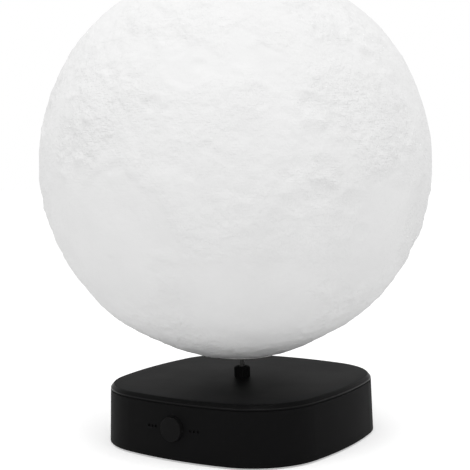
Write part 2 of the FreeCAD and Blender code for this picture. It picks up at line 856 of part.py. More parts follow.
posts = []
for index, (x, y) in enumerate(POSTS):
    hexagon = doc.addObject("Part::Prism", f"post_hexagon_{index}")
    hexagon.Polygon = 6
    bind(hexagon, Circumradius="post_radius", Height="bracket_height - plate_top")
    put(hexagon, x, y, "plate_top")
    thread = cylinder(f"post_thread_{index}", "small_screw_radius", "thread_deep + 1", x, y,
                      "bracket_height - thread_deep")
    posts.append(cut(f"post_{index}", hexagon, [thread]))
node("bracket_posts", group("post_set", posts))
node("bracket_screws", group("bracket_screw_set", [
    small_screw(f"bracket_screw_{index}", "bracket_thick + thread_deep - thread_spare", x, y, "bracket_top")
    for index, (x, y) in enumerate(POSTS)]))

node("lower_bush", revolved("lower_bush_turned", [
    ("tube_radius + running_gap", "bracket_top - lower_bush_long"),
    ("lower_bush_radius", "bracket_top - lower_bush_long"),
    ("lower_bush_radius", "bracket_top"),
    ("lower_flange_radius", "bracket_top"),
    ("lower_flange_radius", "washer_low"),
    ("tube_radius + running_gap", "washer_low"),
]))
node("thrust_washer", tube("washer", "washer_radius", "tube_radius + play", "washer_thick", "washer_low"))

# ---------------------------------------------------------------- gear motor under the bracket

can = cylinder("motor_can", "motor_radius", "motor_tall", "gear_centres", z="bracket_height - motor_tall")
boss = cylinder("motor_boss", "motor_boss_radius", "bracket_thick", "gear_centres", z="bracket_height")
tabs = [box(f"motor_tab_{index}", "gear_centres + motor_radius - motor_tab_thick",
            f"{side} * motor_tab_reach - motor_tab_wide / 2", "motor_tab_low",
            "motor_tab + motor_tab_thick", "motor_tab_wide", "motor_tab_thick")
        for index, side in enumerate((-1, 1))]
shaft_well = cylinder("shaft_well", "motor_shaft_radius + socket_gap",
                      "shaft_well_deep + bracket_thick + 1", "gear_centres",
                      z="bracket_height - shaft_well_deep")
threads = [cylinder(f"motor_thread_{index}", "small_screw_radius", "motor_thread_deep + 1", "gear_centres",
                    f"{side} * motor_screw_reach", "bracket_height - motor_thread_deep")
           for index, side in enumerate((-1, 1))]
node("gear_motor", cut("motor", fused("motor_solid", [can, boss] + tabs), [shaft_well] + threads))
node("motor_screws", group("motor_screw_set", [
    small_screw(f"motor_screw_{index}", "bracket_thick + motor_thread_deep - thread_spare", "gear_centres",
                f"{side} * motor_screw_reach", "bracket_top") for index, side in enumerate((-1, 1))]))

# ---------------------------------------------------------------- brushes that feed the spindle

node("brush_block", box("brush_block_solid", "-brush_block_left", "-brush_block_wide / 2", "plate_top",
                        "brush_block_left + brush_block_right", "brush_block_wide", "brush_block_tall"))
node("core_brush", box("core_leaf", "-brush_block_left + leaf_margin", "-leaf_wide / 2", "leaf_low",
                       "brush_block_left + leaf_margin", "leaf_wide", "core_low - leaf_low - brush_gap"))
blade = box("blade", "-blade_wide / 2", "tube_radius + brush_gap", "leaf_low",
            "blade_wide", "leaf_thick", "blade_tall")
blade_foot = box("blade_foot", "-blade_wide / 2", "tube_radius + brush_gap", "leaf_low",
                 "blade_wide", "blade_foot_long", "leaf_thick")
node("tube_brush", fused("tube_leaf", [blade, blade_foot]))

# ---------------------------------------------------------------- front wall: button, lights, control board

key = revolved("key", [
    ("0", "0"),
    ("button_radius", "0"),
    ("button_radius", "button_long - button_flange_thick"),
    ("button_flange", "button_long - button_flange_thick"),
    ("button_flange", "button_long"),
    ("0", "button_long"),
])
doc.recompute()
key_turned = key.Tip
key_rim = [f"Edge{index}" for index, edge in enumerate(key_turned.Shape.Edges, 1)
           if edge.Curve.TypeId == "Part::GeomCircle" and abs(edge.Curve.Center.z) < 1e-6]
key_edge = key.newObject("PartDesign::Fillet", "key_edge")
key_edge.Base = (key_turned, key_rim)
bind(key_edge, Radius="button_rounding")
node("power_button", put(key, y="-(face_y + button_proud)", z="button_height", turn=TO_BACK))
node("button_plunger", cylinder("plunger", "plunger_radius", "plunger_long", y="-button_back_y",
                                z="button_height", turn=TO_BACK))

switch_body = box("switch_solid", "-switch_side / 2", "-board_y - switch_tall",
                  "button_height - switch_side / 2", "switch_side", "switch_tall", "switch_side")
well = cylinder("switch_well_cut", "plunger_radius + plunger_gap", "switch_well + 1",
                y="-board_y - switch_tall - 1", z="button_height", turn=TO_BACK)
node("tact_switch", cut("switch", switch_body, [well]))


def sunk_wall(name, sink):
    """The space inside the wall's outer face, drawn in by a named depth."""
    body = new_body(name)
    outline = sketch(body, name + "_outline", offset="foot_proud")
    rounded_square(outline, sink)
    pad(body, name + "_wall", outline, "housing_tall", taper="-draft_deg")
    return body


light_places = [f"{side}(light_middle + {step} * light_pitch)" for side in ("-", "") for step in (-1, 0, 1)]
rods = [cylinder(f"light_rod_{index}", "light_radius", "half_side - board_y", x, "-half_side",
                 "button_height", turn=TO_BACK) for index, x in enumerate(light_places)]
rod_trim = box("rod_trim", "-board_wide / 2", "-board_y - chip_tall - play", "0", "board_wide", "half_side",
               "housing_top")
sunk_rods = common("sunk_rods", group("rod_set", rods), sunk_wall("rod_space", "light_sink"))
node("indicator_lights", cut("light_rods", sunk_rods, [rod_trim]))

board = box("board_sheet", "-board_wide / 2", "-board_y", "board_low",
            "board_wide", "board_thick", "board_tall")
board_holes = [cylinder(f"board_hole_{index}", "small_screw_radius", "board_thick + 2",
                        f"{side}board_boss_reach", "-board_y - 1", "button_height", turn=TO_BACK)
               for index, side in enumerate(("-", ""))]
node("control_board", cut("control_sheet", board, board_holes))
chips = [box(f"light_chip_{index}", f"{x} - chip_wide / 2", "-board_y - chip_tall",
             "button_height - chip_wide / 4", "chip_wide", "chip_tall", "chip_wide / 2")
         for index, x in enumerate(light_places)]
node("indicator_chips", group("chip_set", chips))
node("board_socket", box("board_socket_solid", "-socket_wide / 2", "-board_back_y", "socket_low",
                         "socket_wide", "socket_deep", "socket_tall"))
node("controller_chip", box("controller", "-controller_wide / 2", "-board_back_y", "controller_low",
                            "controller_wide", "controller_deep", "controller_tall"))
node("board_screws", group("board_screw_set", [
    small_screw(f"board_screw_{index}", "board_thick + board_pilot_deep - thread_spare",
                f"{side}board_boss_reach", "-board_back_y", "button_height", turn=TO_BACK)
    for index, side in enumerate(("-", ""))]))

# ---------------------------------------------------------------- back wall: power board and inlet

SPACERS = [(f"{side}(supply_half - spacer_margin)", y) for side in ("-", "")
           for y in ("supply_front + spacer_margin", "supply_back - spacer_back_margin")]

supply = box("supply_sheet", "-supply_half", "supply_front", "supply_low", "2 * supply_half",
             "supply_back - supply_front", "board_thick")
supply_holes = [cylinder(f"supply_hole_{index}", "small_screw_radius", "board_thick + 2", x, y,
                         "supply_low - 1") for index, (x, y) in enumerate(SPACERS)]
node("power_board", cut("supply", supply, supply_holes))
node("board_spacers", group("spacer_set", [
    tube(f"spacer_{index}", "spacer_radius", "small_screw_radius", "spacer_tall", "plate_top", x, y)
    for index, (x, y) in enumerate(SPACERS)]))
node("power_board_screws", group("supply_screw_set", [
    small_screw(f"supply_screw_{index}", "board_thick + spacer_tall", x, y, "supply_top")
    for index, (x, y) in enumerate(SPACERS)]))

inlet_block = box("inlet_block", "-inlet_wide / 2", "inlet_face_y - inlet_long", "supply_top", "inlet_wide",
                  "inlet_long", "inlet_tall")
inlet_hole = cylinder("inlet_hole", "inlet_bore", "inlet_bore_deep + 1", y="inlet_face_y - inlet_bore_deep",
                      z="supply_top + inlet_tall / 2", turn=TO_BACK)
node("power_inlet", cut("inlet", inlet_block, [inlet_hole]))
node("inlet_pin", cylinder("inlet_pin_solid", "inlet_pin_radius", "inlet_bore_deep - 1",
                           y="inlet_face_y - inlet_bore_deep", z="supply_top + inlet_tall / 2", turn=TO_BACK))
PARTS_Y = "(supply_front + supply_back) / 2"
coil = cylinder("coil", "coil_radius", "coil_tall", "-supply_half + coil_radius + parts_margin",
                PARTS_Y, "supply_top")
capacitor = cylinder("capacitor", "capacitor_radius", "capacitor_tall",
                     "supply_half - capacitor_radius - parts_margin", PARTS_Y, "supply_top")
regulator = box("regulator", "-regulator_wide / 2", "supply_front + regulator_deep", "supply_top",
                "regulator_wide", "regulator_deep", "regulator_tall")
node("power_parts", group("power_part_set", [coil, capacitor, regulator]))
node("supply_socket", box("supply_socket_solid", "-supply_socket_left", "supply_front", "supply_top",
                          "supply_socket_wide", "supply_socket_deep", "supply_socket_tall"))


# ---------------------------------------------------------------- wiring clipped inside the base

def lead_path(points):
    """Straight runs joined by tangent arcs, each as large as its two runs allow."""
    edges = []
    start = points[0]
    for before, corner, after in zip(points, points[1:], points[2:]):
        inward = corner - before
        outward = after - corner
        turn = inward.getAngle(outward)
        trim = 0.45 * min(inward.Length, outward.Length)
        radius = trim / math.tan(turn / 2)
        inward.normalize()
        outward.normalize()
        enter = corner - inward * trim
        leave = corner + outward * trim
        centre = corner + (outward - inward).normalize() * math.hypot(radius, trim)
        middle = centre + (corner - centre).normalize() * radius
        edges.append(Part.LineSegment(start, enter).toShape())
        edges.append(Part.Arc(enter, middle, leave).toShape())
        start = leave
    edges.append(Part.LineSegment(start, points[-1]).toShape())
    return Part.Wire(edges)


def lead(name, points):
    """One round insulated wire along a route."""
    path = lead_path(points)
    along = points[1] - points[0]
    section = Part.Wire(Part.Circle(points[0], along, size("wire_radius")).toShape())
    item = doc.addObject("Part::Feature", name)
    item.Shape = path.makePipeShell([section], True, False)
    return item


def lead_pair(label, route):
    """Two wires side by side; the route gives each point and the way across the pair there."""
    pitch = size("wire_pitch")
    wires = []
    for index, side in enumerate((-0.5, 0.5)):
        points = [point + across * (side * pitch) for point, across in route]
        wires.append(lead(f"{label}_{index}", points))
    return node(label, group(f"{label}_pair", wires))


along_x = Vector(1, 0, 0)
along_y = Vector(0, 1, 0)
aslant = (along_x + along_y) * 0.7
stub = size("wire_stub")
socket_pitch = size("socket_pitch")
floor_z = size("plate_top") + size("wire_floor_gap")
socket_y = -size("board_back_y") + size("socket_deep")
socket_z = size("socket_low") + size("socket_tall") / 2
front_lane = (socket_y - size("bracket_half")) / 2
left_lane = -size("bracket_left") - stub
back_lane = size("bracket_half") + size("back_lane_gap")


def into_board_socket(x):
    """The last two points of a route, square to the control board's socket."""
    return [(Vector(x, socket_y + stub, socket_z), along_x), (Vector(x, socket_y, socket_z), along_x)]


motor_x = size("gear_centres") + size("motor_radius") + size("motor_tab")
tab_z = size("motor_tab_low") + size("motor_tab_thick") / 2
lead_pair("motor_leads", [
    (Vector(motor_x, 0, tab_z), along_y * 4),
    (Vector(motor_x + stub, 0, tab_z), along_y * 4),
    (Vector(motor_x + stub - 1.5, -size("bracket_half"), floor_z), along_x),
    (Vector(motor_x - 10, front_lane + 1, floor_z), aslant),
    (Vector(socket_pitch + stub, socket_y + 10, floor_z + 1), aslant),
] + into_board_socket(socket_pitch))
block_x = -size("brush_block_left")
brush_z = size("plate_top") + size("brush_block_tall") / 2
lead_pair("brush_leads", [
    (Vector(block_x, 0, brush_z), along_y * 2),
    (Vector(block_x - stub, 0, brush_z), along_y * 2),
    (Vector(block_x - stub - 1, -size("post_y") - 2, floor_z), along_x),
    (Vector(block_x + 2, front_lane + 2, floor_z), along_x),
] + into_board_socket(0))
supply_x = size("supply_socket_wide") / 2 - size("supply_socket_left")
supply_z = size("supply_top") + size("supply_socket_tall") / 2
lead_pair("supply_leads", [
    (Vector(supply_x, size("supply_front"), supply_z), along_x),
    (Vector(supply_x, size("supply_front") - stub, supply_z), along_x),
    (Vector(left_lane + 9, back_lane, floor_z), along_y),
    (Vector(left_lane, 10, floor_z), along_x),
    (Vector(left_lane, -size("post_y"), floor_z), along_x),
    (Vector(left_lane + 11, front_lane, floor_z), along_x),
    (Vector(-socket_pitch - 2.5, socket_y + 10, floor_z + 1), along_x),
] + into_board_socket(-socket_pitch))

# ---------------------------------------------------------------- globe: the printed moon shell

globe = new_body("globe")
shell = sketch(globe, "shell_outline", "XZ_Plane")
outer_r = size("globe_radius")
inner_r = outer_r - size("globe_wall")
centre_z = size("globe_height")
globe_middle = Vector(0, centre_z, 0)


def below(radius, reach):
    """The height on a sphere's underside at a distance from its axis."""
    return centre_z - math.sqrt(radius ** 2 - reach ** 2)


corners = [
    Vector(0, centre_z + outer_r, 0),
    Vector(size("seat_radius"), below(outer_r, size("seat_radius")), 0),
    Vector(size("seat_radius"), size("cap_seat"), 0),
    Vector(size("mouth_radius"), size("cap_seat"), 0),
    Vector(size("mouth_radius"), size("boss_top"), 0),
    Vector(size("mouth_boss_radius"), size("boss_top"), 0),
    Vector(size("mouth_boss_radius"), below(inner_r, size("mouth_boss_radius")), 0),
    Vector(0, centre_z + inner_r, 0),
]


def sphere_arc(radius, low_point):
    """The profile's arc from the lower point, up the right side, to the top."""
    begin = math.atan2(low_point.y - centre_z, low_point.x)
    return Part.ArcOfCircle(Part.Circle(globe_middle, Vector(0, 0, 1), radius), begin, math.pi / 2)


shell.addGeometry(sphere_arc(outer_r, corners[1]), False)
for index in range(1, 6):
    shell.addGeometry(Part.LineSegment(corners[index], corners[index + 1]), False)
shell.addGeometry(sphere_arc(inner_r, corners[6]), False)
shell.addGeometry(Part.LineSegment(corners[7], corners[0]), False)
shell.addConstraint(Sketcher.Constraint("Coincident", 0, 1, 1, 1))
for index in range(1, 7):
    shell.addConstraint(Sketcher.Constraint("Coincident", index, 2, index + 1, 1))
shell.addConstraint(Sketcher.Constraint("Coincident", 7, 2, 0, 2))
shell.addConstraint(Sketcher.Constraint("Coincident", 0, 3, 6, 3))
pin_point(shell, 0, 3, "0", "globe_height")
dimension(shell, "globe_radius", "Radius", 0, outer_r)
dimension(shell, "globe_radius - globe_wall", "Radius", 6, inner_r)
shell.addConstraint(Sketcher.Constraint("PointOnObject", 0, 2, -2))
shell.addConstraint(Sketcher.Constraint("PointOnObject", 6, 2, -2))
dimension(shell, "seat_radius", "DistanceX", -1, 1, 0, 1, 1.0)
dimension(shell, "mouth_boss_radius", "DistanceX", -1, 1, 6, 1, 1.0)
pin_point(shell, 2, 1, "seat_radius", "cap_seat")
pin_point(shell, 3, 1, "mouth_radius", "cap_seat")
pin_point(shell, 4, 1, "mouth_radius", "boss_top")
pin_point(shell, 5, 1, "mouth_boss_radius", "boss_top")
spin = globe.newObject("PartDesign::Revolution", "shell")
spin.Profile = shell
spin.ReferenceAxis = (shell, ["V_Axis"])
spin.Angle = 360
doc.recompute()
cap_screw_places = [(f"cap_screw_reach * cos({angle})", f"cap_screw_reach * sin({angle})")
                    for angle in (90, 210, 330)]
globe_pilots = sketch(globe, "cap_pilot_outline", offset="cap_seat")
for x, y in cap_screw_places:
    circle(globe_pilots, "cap_screw_radius", x, y)
pocket(globe, "cap_pilots", globe_pilots, "cap_screw_long", up=True)
node("moon_globe", globe)

# ---------------------------------------------------------------- globe cap and stem

stem = revolved("cap_stem", [
    ("tube_radius + socket_gap", "cap_low"),
    ("seat_radius - cap_edge_gap", "cap_low"),
    ("seat_radius - cap_edge_gap", "cap_seat"),
    ("mouth_radius - cap_spigot_gap", "cap_seat"),
    ("mouth_radius - cap_spigot_gap", "cap_seat + cap_spigot_tall"),
    ("mouth_radius - cap_spigot_gap - cap_spigot_wall", "cap_seat + cap_spigot_tall"),
    ("mouth_radius - cap_spigot_gap - cap_spigot_wall", "cap_seat"),
    ("stem_radius", "cap_seat"),
    ("stem_radius", "stem_top - stem_head_thick"),
    ("stem_head_radius", "stem_top - stem_head_thick"),
    ("stem_head_radius", "stem_top"),
    ("lead_radius + lead_gap", "stem_top"),
    ("lead_radius + lead_gap", "tip_contact_low + tip_contact_thick"),
    ("tip_contact_radius", "tip_contact_low + tip_contact_thick"),
    ("tip_contact_radius", "tip_contact_low"),
    ("core_radius + play", "tip_contact_low"),
    ("core_radius + play", "sleeve_top + play"),
    ("tube_bore + play", "sleeve_top + play"),
    ("tube_bore + play", "tube_top + play / 2"),
    ("tube_radius + socket_gap", "tube_top + play / 2"),
    ("tube_radius + socket_gap", "ring_contact_low + ring_contact_tall"),
    ("ring_contact_radius", "ring_contact_low + ring_contact_tall"),
    ("ring_contact_radius", "ring_contact_low"),
    ("tube_radius + socket_gap", "ring_contact_low"),
])
doc.recompute()
cap_holes = sketch(stem, "cap_hole_outline", offset="cap_low")
for x, y in cap_screw_places:
    circle(cap_holes, "cap_screw_radius", x, y)
pocket(stem, "cap_holes", cap_holes, "cap_flange_thick + 1", up=True)
cap_sinks = sketch(stem, "cap_sink_outline", offset="cap_low")
for x, y in cap_screw_places:
    circle(cap_sinks, "cap_screw_head", x, y)
pocket(stem, "cap_sinks", cap_sinks, "cap_screw_head_tall", up=True)
LIGHT_SCREW_REACH = "(light_board_radius - small_screw_head - light_screw_margin)"
light_pilots = sketch(stem, "light_pilot_outline", offset="stem_top")
for side in ("-", ""):
    circle(light_pilots, "small_screw_radius", side + LIGHT_SCREW_REACH)
pocket(stem, "light_pilots", light_pilots)
LEAD_REACH = "(tube_radius + ring_contact_radius) / 2"
lead_hole = sketch(stem, "lead_hole_outline", offset="stem_top")
circle(lead_hole, "lead_radius + lead_gap", y=LEAD_REACH)
pocket(stem, "lead_hole", lead_hole, "stem_top - ring_contact_low - ring_contact_tall")
node("globe_cap", stem)

HEAD_DOWN = Rotation(Vector(1, 0, 0), 180)
node("cap_screws", group("cap_screw_set", [
    pan_screw(f"cap_screw_{index}", "cap_screw_radius", "cap_screw_long", "cap_screw_head",
              "cap_screw_head_tall", x, y, "cap_low + cap_screw_head_tall", turn=HEAD_DOWN)
    for index, (x, y) in enumerate(cap_screw_places)]))
node("ring_contact", tube("contact_ring", "ring_contact_radius", "tube_radius + socket_gap",
                          "ring_contact_tall", "ring_contact_low"))
node("tip_contact", cylinder("contact_tip", "tip_contact_radius", "tip_contact_thick", z="tip_contact_low"))

# ---------------------------------------------------------------- light on top of the stem

def light_disc(name, radius, thick, z):
    """A round plate of the light with its two screw holes and two lead holes."""
    holes = [cylinder(f"{name}_screw_{index}", "small_screw_radius", f"{thick} + 2",
                      side + LIGHT_SCREW_REACH, z=f"{z} - 1") for index, side in enumerate(("-", ""))]
    for end, y in (("a", "0"), ("b", LEAD_REACH)):
        holes.append(cylinder(f"{name}_lead_{end}", "lead_radius + lead_gap", f"{thick} + 2",
                              y=y, z=f"{z} - 1"))
    return cut(name, cylinder(f"{name}_disc", radius, thick, z=z), holes)


node("heat_spreader", light_disc("spreader", "spreader_radius", "spreader_thick", "stem_top"))
node("light_board", light_disc("light_sheet", "light_board_radius", "light_board_thick", "spreader_top"))
emitters = []
for index, angle in enumerate((45, 90, 135, 225, 270, 315)):
    reach = f"emitter_reach * cos({angle})", f"emitter_reach * sin({angle})"
    emitters.append(box(f"emitter_{index}", f"{reach[0]} - emitter_wide / 2",
                        f"{reach[1]} - emitter_deep / 2", "light_board_top",
                        "emitter_wide", "emitter_deep", "emitter_tall"))
node("light_emitters", group("emitter_set", emitters))
node("light_screws", group("light_screw_set", [
    small_screw(f"light_screw_{index}", "light_board_thick + spreader_thick + light_screw_bite",
                side + LIGHT_SCREW_REACH, "0", "light_board_top") for index, side in enumerate(("-", ""))]))
node("light_leads", group("light_lead_set", [
    cylinder("lead_core", "lead_radius", "light_board_top - tip_contact_low - tip_contact_thick",
             z="tip_contact_low + tip_contact_thick"),
    cylinder("lead_ring", "lead_radius", "light_board_top - ring_contact_low - ring_contact_tall",
             y=LEAD_REACH, z="ring_contact_low + ring_contact_tall")]))

DOME_LOW = "(spreader_top + diffuser_skirt)"
DIFFUSER_INNER = "(diffuser_radius - diffuser_wall)"
skirt = tube("skirt", "diffuser_radius", DIFFUSER_INNER, "diffuser_skirt", "spreader_top")
halves = []
for name, radius in (("dome_outer", "diffuser_radius"), ("dome_inner", DIFFUSER_INNER)):
    half_ball = put(bind(doc.addObject("Part::Sphere", name), Radius=radius), z=DOME_LOW)
    half_ball.Angle1 = 0
    halves.append(half_ball)
dome = cut("dome", halves[0], halves[1:])
node("light_diffuser", fused("diffuser", [skirt, dome]))

# ---------------------------------------------------------------- check and write

doc.recompute()
for item in doc.Objects:
    if "Invalid" in item.State or "Error" in item.State:
        raise RuntimeError(f"{item.Name} failed: {item.State}")
for label, item in nodes.items():
    if item.Shape.isNull() or not item.Shape.isValid() or not item.Shape.Solids:
        raise RuntimeError(f"{label} has no valid solid")

os.makedirs("parts", exist_ok=True)
for label, item in nodes.items():
    item.Shape.exportStep(f"parts/{label}.step")
    print(f"{label}: {len(item.Shape.Solids)} solid, {item.Shape.Volume / 1000:.2f} cm3")
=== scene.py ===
import math

import bmesh
import bpy
import numpy as np
from mathutils import Matrix, Vector, noise


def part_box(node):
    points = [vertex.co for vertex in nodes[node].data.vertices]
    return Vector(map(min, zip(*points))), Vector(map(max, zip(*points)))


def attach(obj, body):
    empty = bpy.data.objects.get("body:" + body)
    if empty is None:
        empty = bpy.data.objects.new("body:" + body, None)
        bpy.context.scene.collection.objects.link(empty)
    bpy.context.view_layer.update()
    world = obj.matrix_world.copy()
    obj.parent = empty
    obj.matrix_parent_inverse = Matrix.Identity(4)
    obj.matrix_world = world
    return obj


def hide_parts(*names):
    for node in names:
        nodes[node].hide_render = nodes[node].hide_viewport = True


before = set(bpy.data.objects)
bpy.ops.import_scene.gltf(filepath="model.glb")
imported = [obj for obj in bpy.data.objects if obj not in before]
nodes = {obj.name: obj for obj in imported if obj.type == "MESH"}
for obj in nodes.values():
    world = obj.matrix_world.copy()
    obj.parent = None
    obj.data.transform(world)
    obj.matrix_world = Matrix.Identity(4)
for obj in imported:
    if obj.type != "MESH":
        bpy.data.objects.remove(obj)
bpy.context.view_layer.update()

# ---------------------------------------------------------------- moulded wall of the base
# A black ABS moulding with a fine spark-eroded texture and no paint. The wall leans in a little
# towards the top, as a moulding does, and everything in the base is screwed or clipped to it.


def add(tree, kind, inputs=None, **settings):
    """Puts a node in a shader tree with its settings, plain values and links."""
    node = tree.nodes.new(kind)
    for name, value in settings.items():
        setattr(node, name, value)
    for socket, value in (inputs or {}).items():
        if isinstance(value, bpy.types.NodeSocket):
            tree.links.new(value, node.inputs[socket])
        else:
            node.inputs[socket].default_value = value
    return node


def mixed(tree, factor, first, second):
    """The colour between two others, by a mask that varies over the surface."""
    node = tree.nodes.new("ShaderNodeMix")
    node.data_type = "RGBA"
    tree.links.new(factor, node.inputs["Factor"])
    for socket, colour in (("A", first), ("B", second)):
        if isinstance(colour, bpy.types.NodeSocket):
            tree.links.new(colour, node.inputs[socket])
        else:
            node.inputs[socket].default_value = (*colour, 1.0)
    return node.outputs["Result"]


def new_group(name, inputs, outputs):
    """A node group whose inputs and outputs are all numbers."""
    tree = bpy.data.node_groups.new(name, "ShaderNodeTree")
    for label, value in inputs.items():
        socket = tree.interface.new_socket(label, in_out="INPUT", socket_type="NodeSocketFloat")
        socket.default_value = value
    for label in outputs:
        tree.interface.new_socket(label, in_out="OUTPUT", socket_type="NodeSocketFloat")
    return tree, add(tree, "NodeGroupInput").outputs, add(tree, "NodeGroupOutput").inputs


surface_play, given, result = new_group(
    "Surface Play", {"Grain": 2500.0, "Patches": 60.0, "Stretch": 1.0}, ("Height", "Patch"))
place = add(surface_play, "ShaderNodeTexCoord").outputs["Object"]
squeeze = add(surface_play, "ShaderNodeCombineXYZ", {"X": 1.0, "Y": 1.0, "Z": given["Stretch"]})
drawn = add(surface_play, "ShaderNodeVectorMath", {0: place, 1: squeeze.outputs[0]}, operation="MULTIPLY")
grain = add(surface_play, "ShaderNodeTexNoise",
            {"Vector": drawn.outputs[0], "Scale": given["Grain"], "Detail": 2.0, "Roughness": 0.6})
patches = add(surface_play, "ShaderNodeTexNoise",
              {"Vector": place, "Scale": given["Patches"], "Detail": 4.0, "Roughness": 0.55})
spread = add(surface_play, "ShaderNodeMapRange",
             {"Value": patches.outputs["Fac"], "From Min": 0.35, "From Max": 0.65})
surface_play.links.new(grain.outputs["Fac"], result["Height"])
surface_play.links.new(spread.outputs["Result"], result["Patch"])


def finish(name, light, dark, rough, metallic=0.0, specular=0.5, grain=2500.0, patches=60.0, stretch=1.0,
           depth=0.00002, strength=0.4):
    """One make of surface: two close tones in soft patches, a gloss that varies, and a fine grain."""
    material = bpy.data.materials.new(name)
    material.use_nodes = True
    tree = material.node_tree
    shader = tree.nodes["Principled BSDF"]
    play = add(tree, "ShaderNodeGroup", node_tree=surface_play)
    for socket, value in (("Grain", grain), ("Patches", patches), ("Stretch", stretch)):
        play.inputs[socket].default_value = value
    tree.links.new(mixed(tree, play.outputs["Patch"], light, dark), shader.inputs["Base Color"])
    gloss = add(tree, "ShaderNodeMapRange",
                {"Value": play.outputs["Patch"], "To Min": rough[0], "To Max": rough[1]})
    tree.links.new(gloss.outputs["Result"], shader.inputs["Roughness"])
    bump = add(tree, "ShaderNodeBump",
               {"Strength": strength, "Distance": depth, "Height": play.outputs["Height"]})
    tree.links.new(bump.outputs["Normal"], shader.inputs["Normal"])
    shader.inputs["Metallic"].default_value = metallic
    shader.inputs["Specular IOR Level"].default_value = specular
    return material


def dress(material, *names):
    """Gives CAD nodes their finish."""
    for name in names:
        mesh = nodes[name].data
        mesh.materials.clear()
        mesh.materials.append(material)


MOULDED_GRAIN = 3200.0
satin_black = finish("satin black moulding", (0.0042, 0.0042, 0.0043), (0.0047, 0.0047, 0.0049),
                     (0.56, 0.6), specular=0.034, grain=MOULDED_GRAIN, patches=35.0, depth=0.00003,
                     strength=0.35)
dress(satin_black, "base_housing")

# ---------------------------------------------------------------- bottom plate, feet and cover screws
# A zinc-plated steel sheet closes the base and weighs it down, so that the tall globe can't tip it.
# Four countersunk screws hold it and the cover together, and four rubber discs are stuck to it.

zinc = finish("zinc plated sheet", (0.56, 0.57, 0.56), (0.44, 0.45, 0.46), (0.28, 0.42), metallic=1.0,
              grain=400.0, patches=140.0, strength=0.25)
screw_steel = finish("plated screws", (0.55, 0.54, 0.52), (0.42, 0.41, 0.4), (0.25, 0.4), metallic=1.0,
                     grain=1500.0, patches=300.0, strength=0.2)
soft_rubber = finish("soft black rubber", (0.02, 0.02, 0.02), (0.03, 0.03, 0.03), (0.75, 0.9),
                     grain=1800.0, strength=0.5)
dress(zinc, "bottom_plate")
dress(screw_steel, "cover_screws")
dress(soft_rubber, "rubber_feet")

# ---------------------------------------------------------------- push button and indicator lights
# The button is moulded in black with a rounded edge and stands a little proud of the wall. It slides
# in a close bore and works the switch by a pin on its back. The six small lights are smoked rods that
# end at chips on the board.

key_black = finish("satin black key", (0.0074, 0.0074, 0.0075), (0.0066, 0.0066, 0.0067), (0.5, 0.56),
                   specular=0.035, grain=MOULDED_GRAIN, depth=0.00001, strength=0.2)
smoked = finish("smoked light rod", (0.001, 0.001, 0.0011), (0.0006, 0.0006, 0.0006), (0.4, 0.5),
                specular=0.06, grain=900.0, strength=0.1)
dress(key_black, "button_plunger")
dress(smoked, "indicator_lights")


def skin(mesh, rings, closed=False):
    """Joins rings of points, all with the same count, by quads."""
    rows = [[mesh.verts.new(point) for point in ring] for ring in rings]
    pairs = list(zip(rows, rows[1:]))
    if closed:
        pairs.append((rows[-1], rows[0]))
    for low, high in pairs:
        for index in range(len(low)):
            following = (index + 1) % len(low)
            mesh.faces.new((low[index], low[following], high[following], high[index]))
    return rows


def new_piece(name, mesh, material, sharp_degrees=30.0):
    """Turns a bmesh into an object with smooth faces and sharp corners."""
    bmesh.ops.recalc_face_normals(mesh, faces=mesh.faces)
    data = bpy.data.meshes.new(name)
    mesh.to_mesh(data)
    mesh.free()
    data.shade_smooth()
    data.set_sharp_from_angle(angle=math.radians(sharp_degrees))
    data.materials.append(material)
    piece = bpy.data.objects.new(name, data)
    bpy.context.scene.collection.objects.link(piece)
    return piece


key_low, key_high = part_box("power_button")
KEY_HEIGHT = (key_low.z + key_high.z) / 2
FLANGE_RADIUS, FLANGE_THICK = (key_high.z - key_low.z) / 2, 0.001
KEY_RADIUS, KEY_ROUNDING, KEY_CROWN = 0.00535, 0.0004, 0.00008
NEAR_AXIS = 0.0001


def key_ring(radius, y, count=96):
    """A ring round the key's axis."""
    return [Vector((radius * math.cos(2 * math.pi * step / count), y,
                    KEY_HEIGHT + radius * math.sin(2 * math.pi * step / count))) for step in range(count)]


flat_radius = KEY_RADIUS - KEY_ROUNDING
key_mesh = bmesh.new()
key_rings = [key_ring(flat_radius * share, key_low.y + KEY_CROWN * share ** 2)
             for share in (0.02, 0.25, 0.5, 0.75)]
for degrees in range(0, 91, 10):
    bend = math.radians(degrees)
    key_rings.append(key_ring(flat_radius + KEY_ROUNDING * math.sin(bend),
                              key_low.y + KEY_CROWN + KEY_ROUNDING * (1 - math.cos(bend))))
for radius, y in ((KEY_RADIUS, key_high.y - FLANGE_THICK), (FLANGE_RADIUS, key_high.y - FLANGE_THICK),
                  (FLANGE_RADIUS, key_high.y), (NEAR_AXIS, key_high.y)):
    key_rings.append(key_ring(radius, y))
key_rows = skin(key_mesh, key_rings)
for row in (key_rows[0], key_rows[-1]):
    key_mesh.faces.new(row)
key = new_piece("rounded_key", key_mesh, key_black)
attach(key, "button")
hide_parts("power_button")

# ---------------------------------------------------------------- control board and power board
# Glass-fibre boards under green lacquer, with the copper tracks showing through it a little paler.
# Black moulded parts and nylon sockets are soldered to them, and pan screws hold them down.

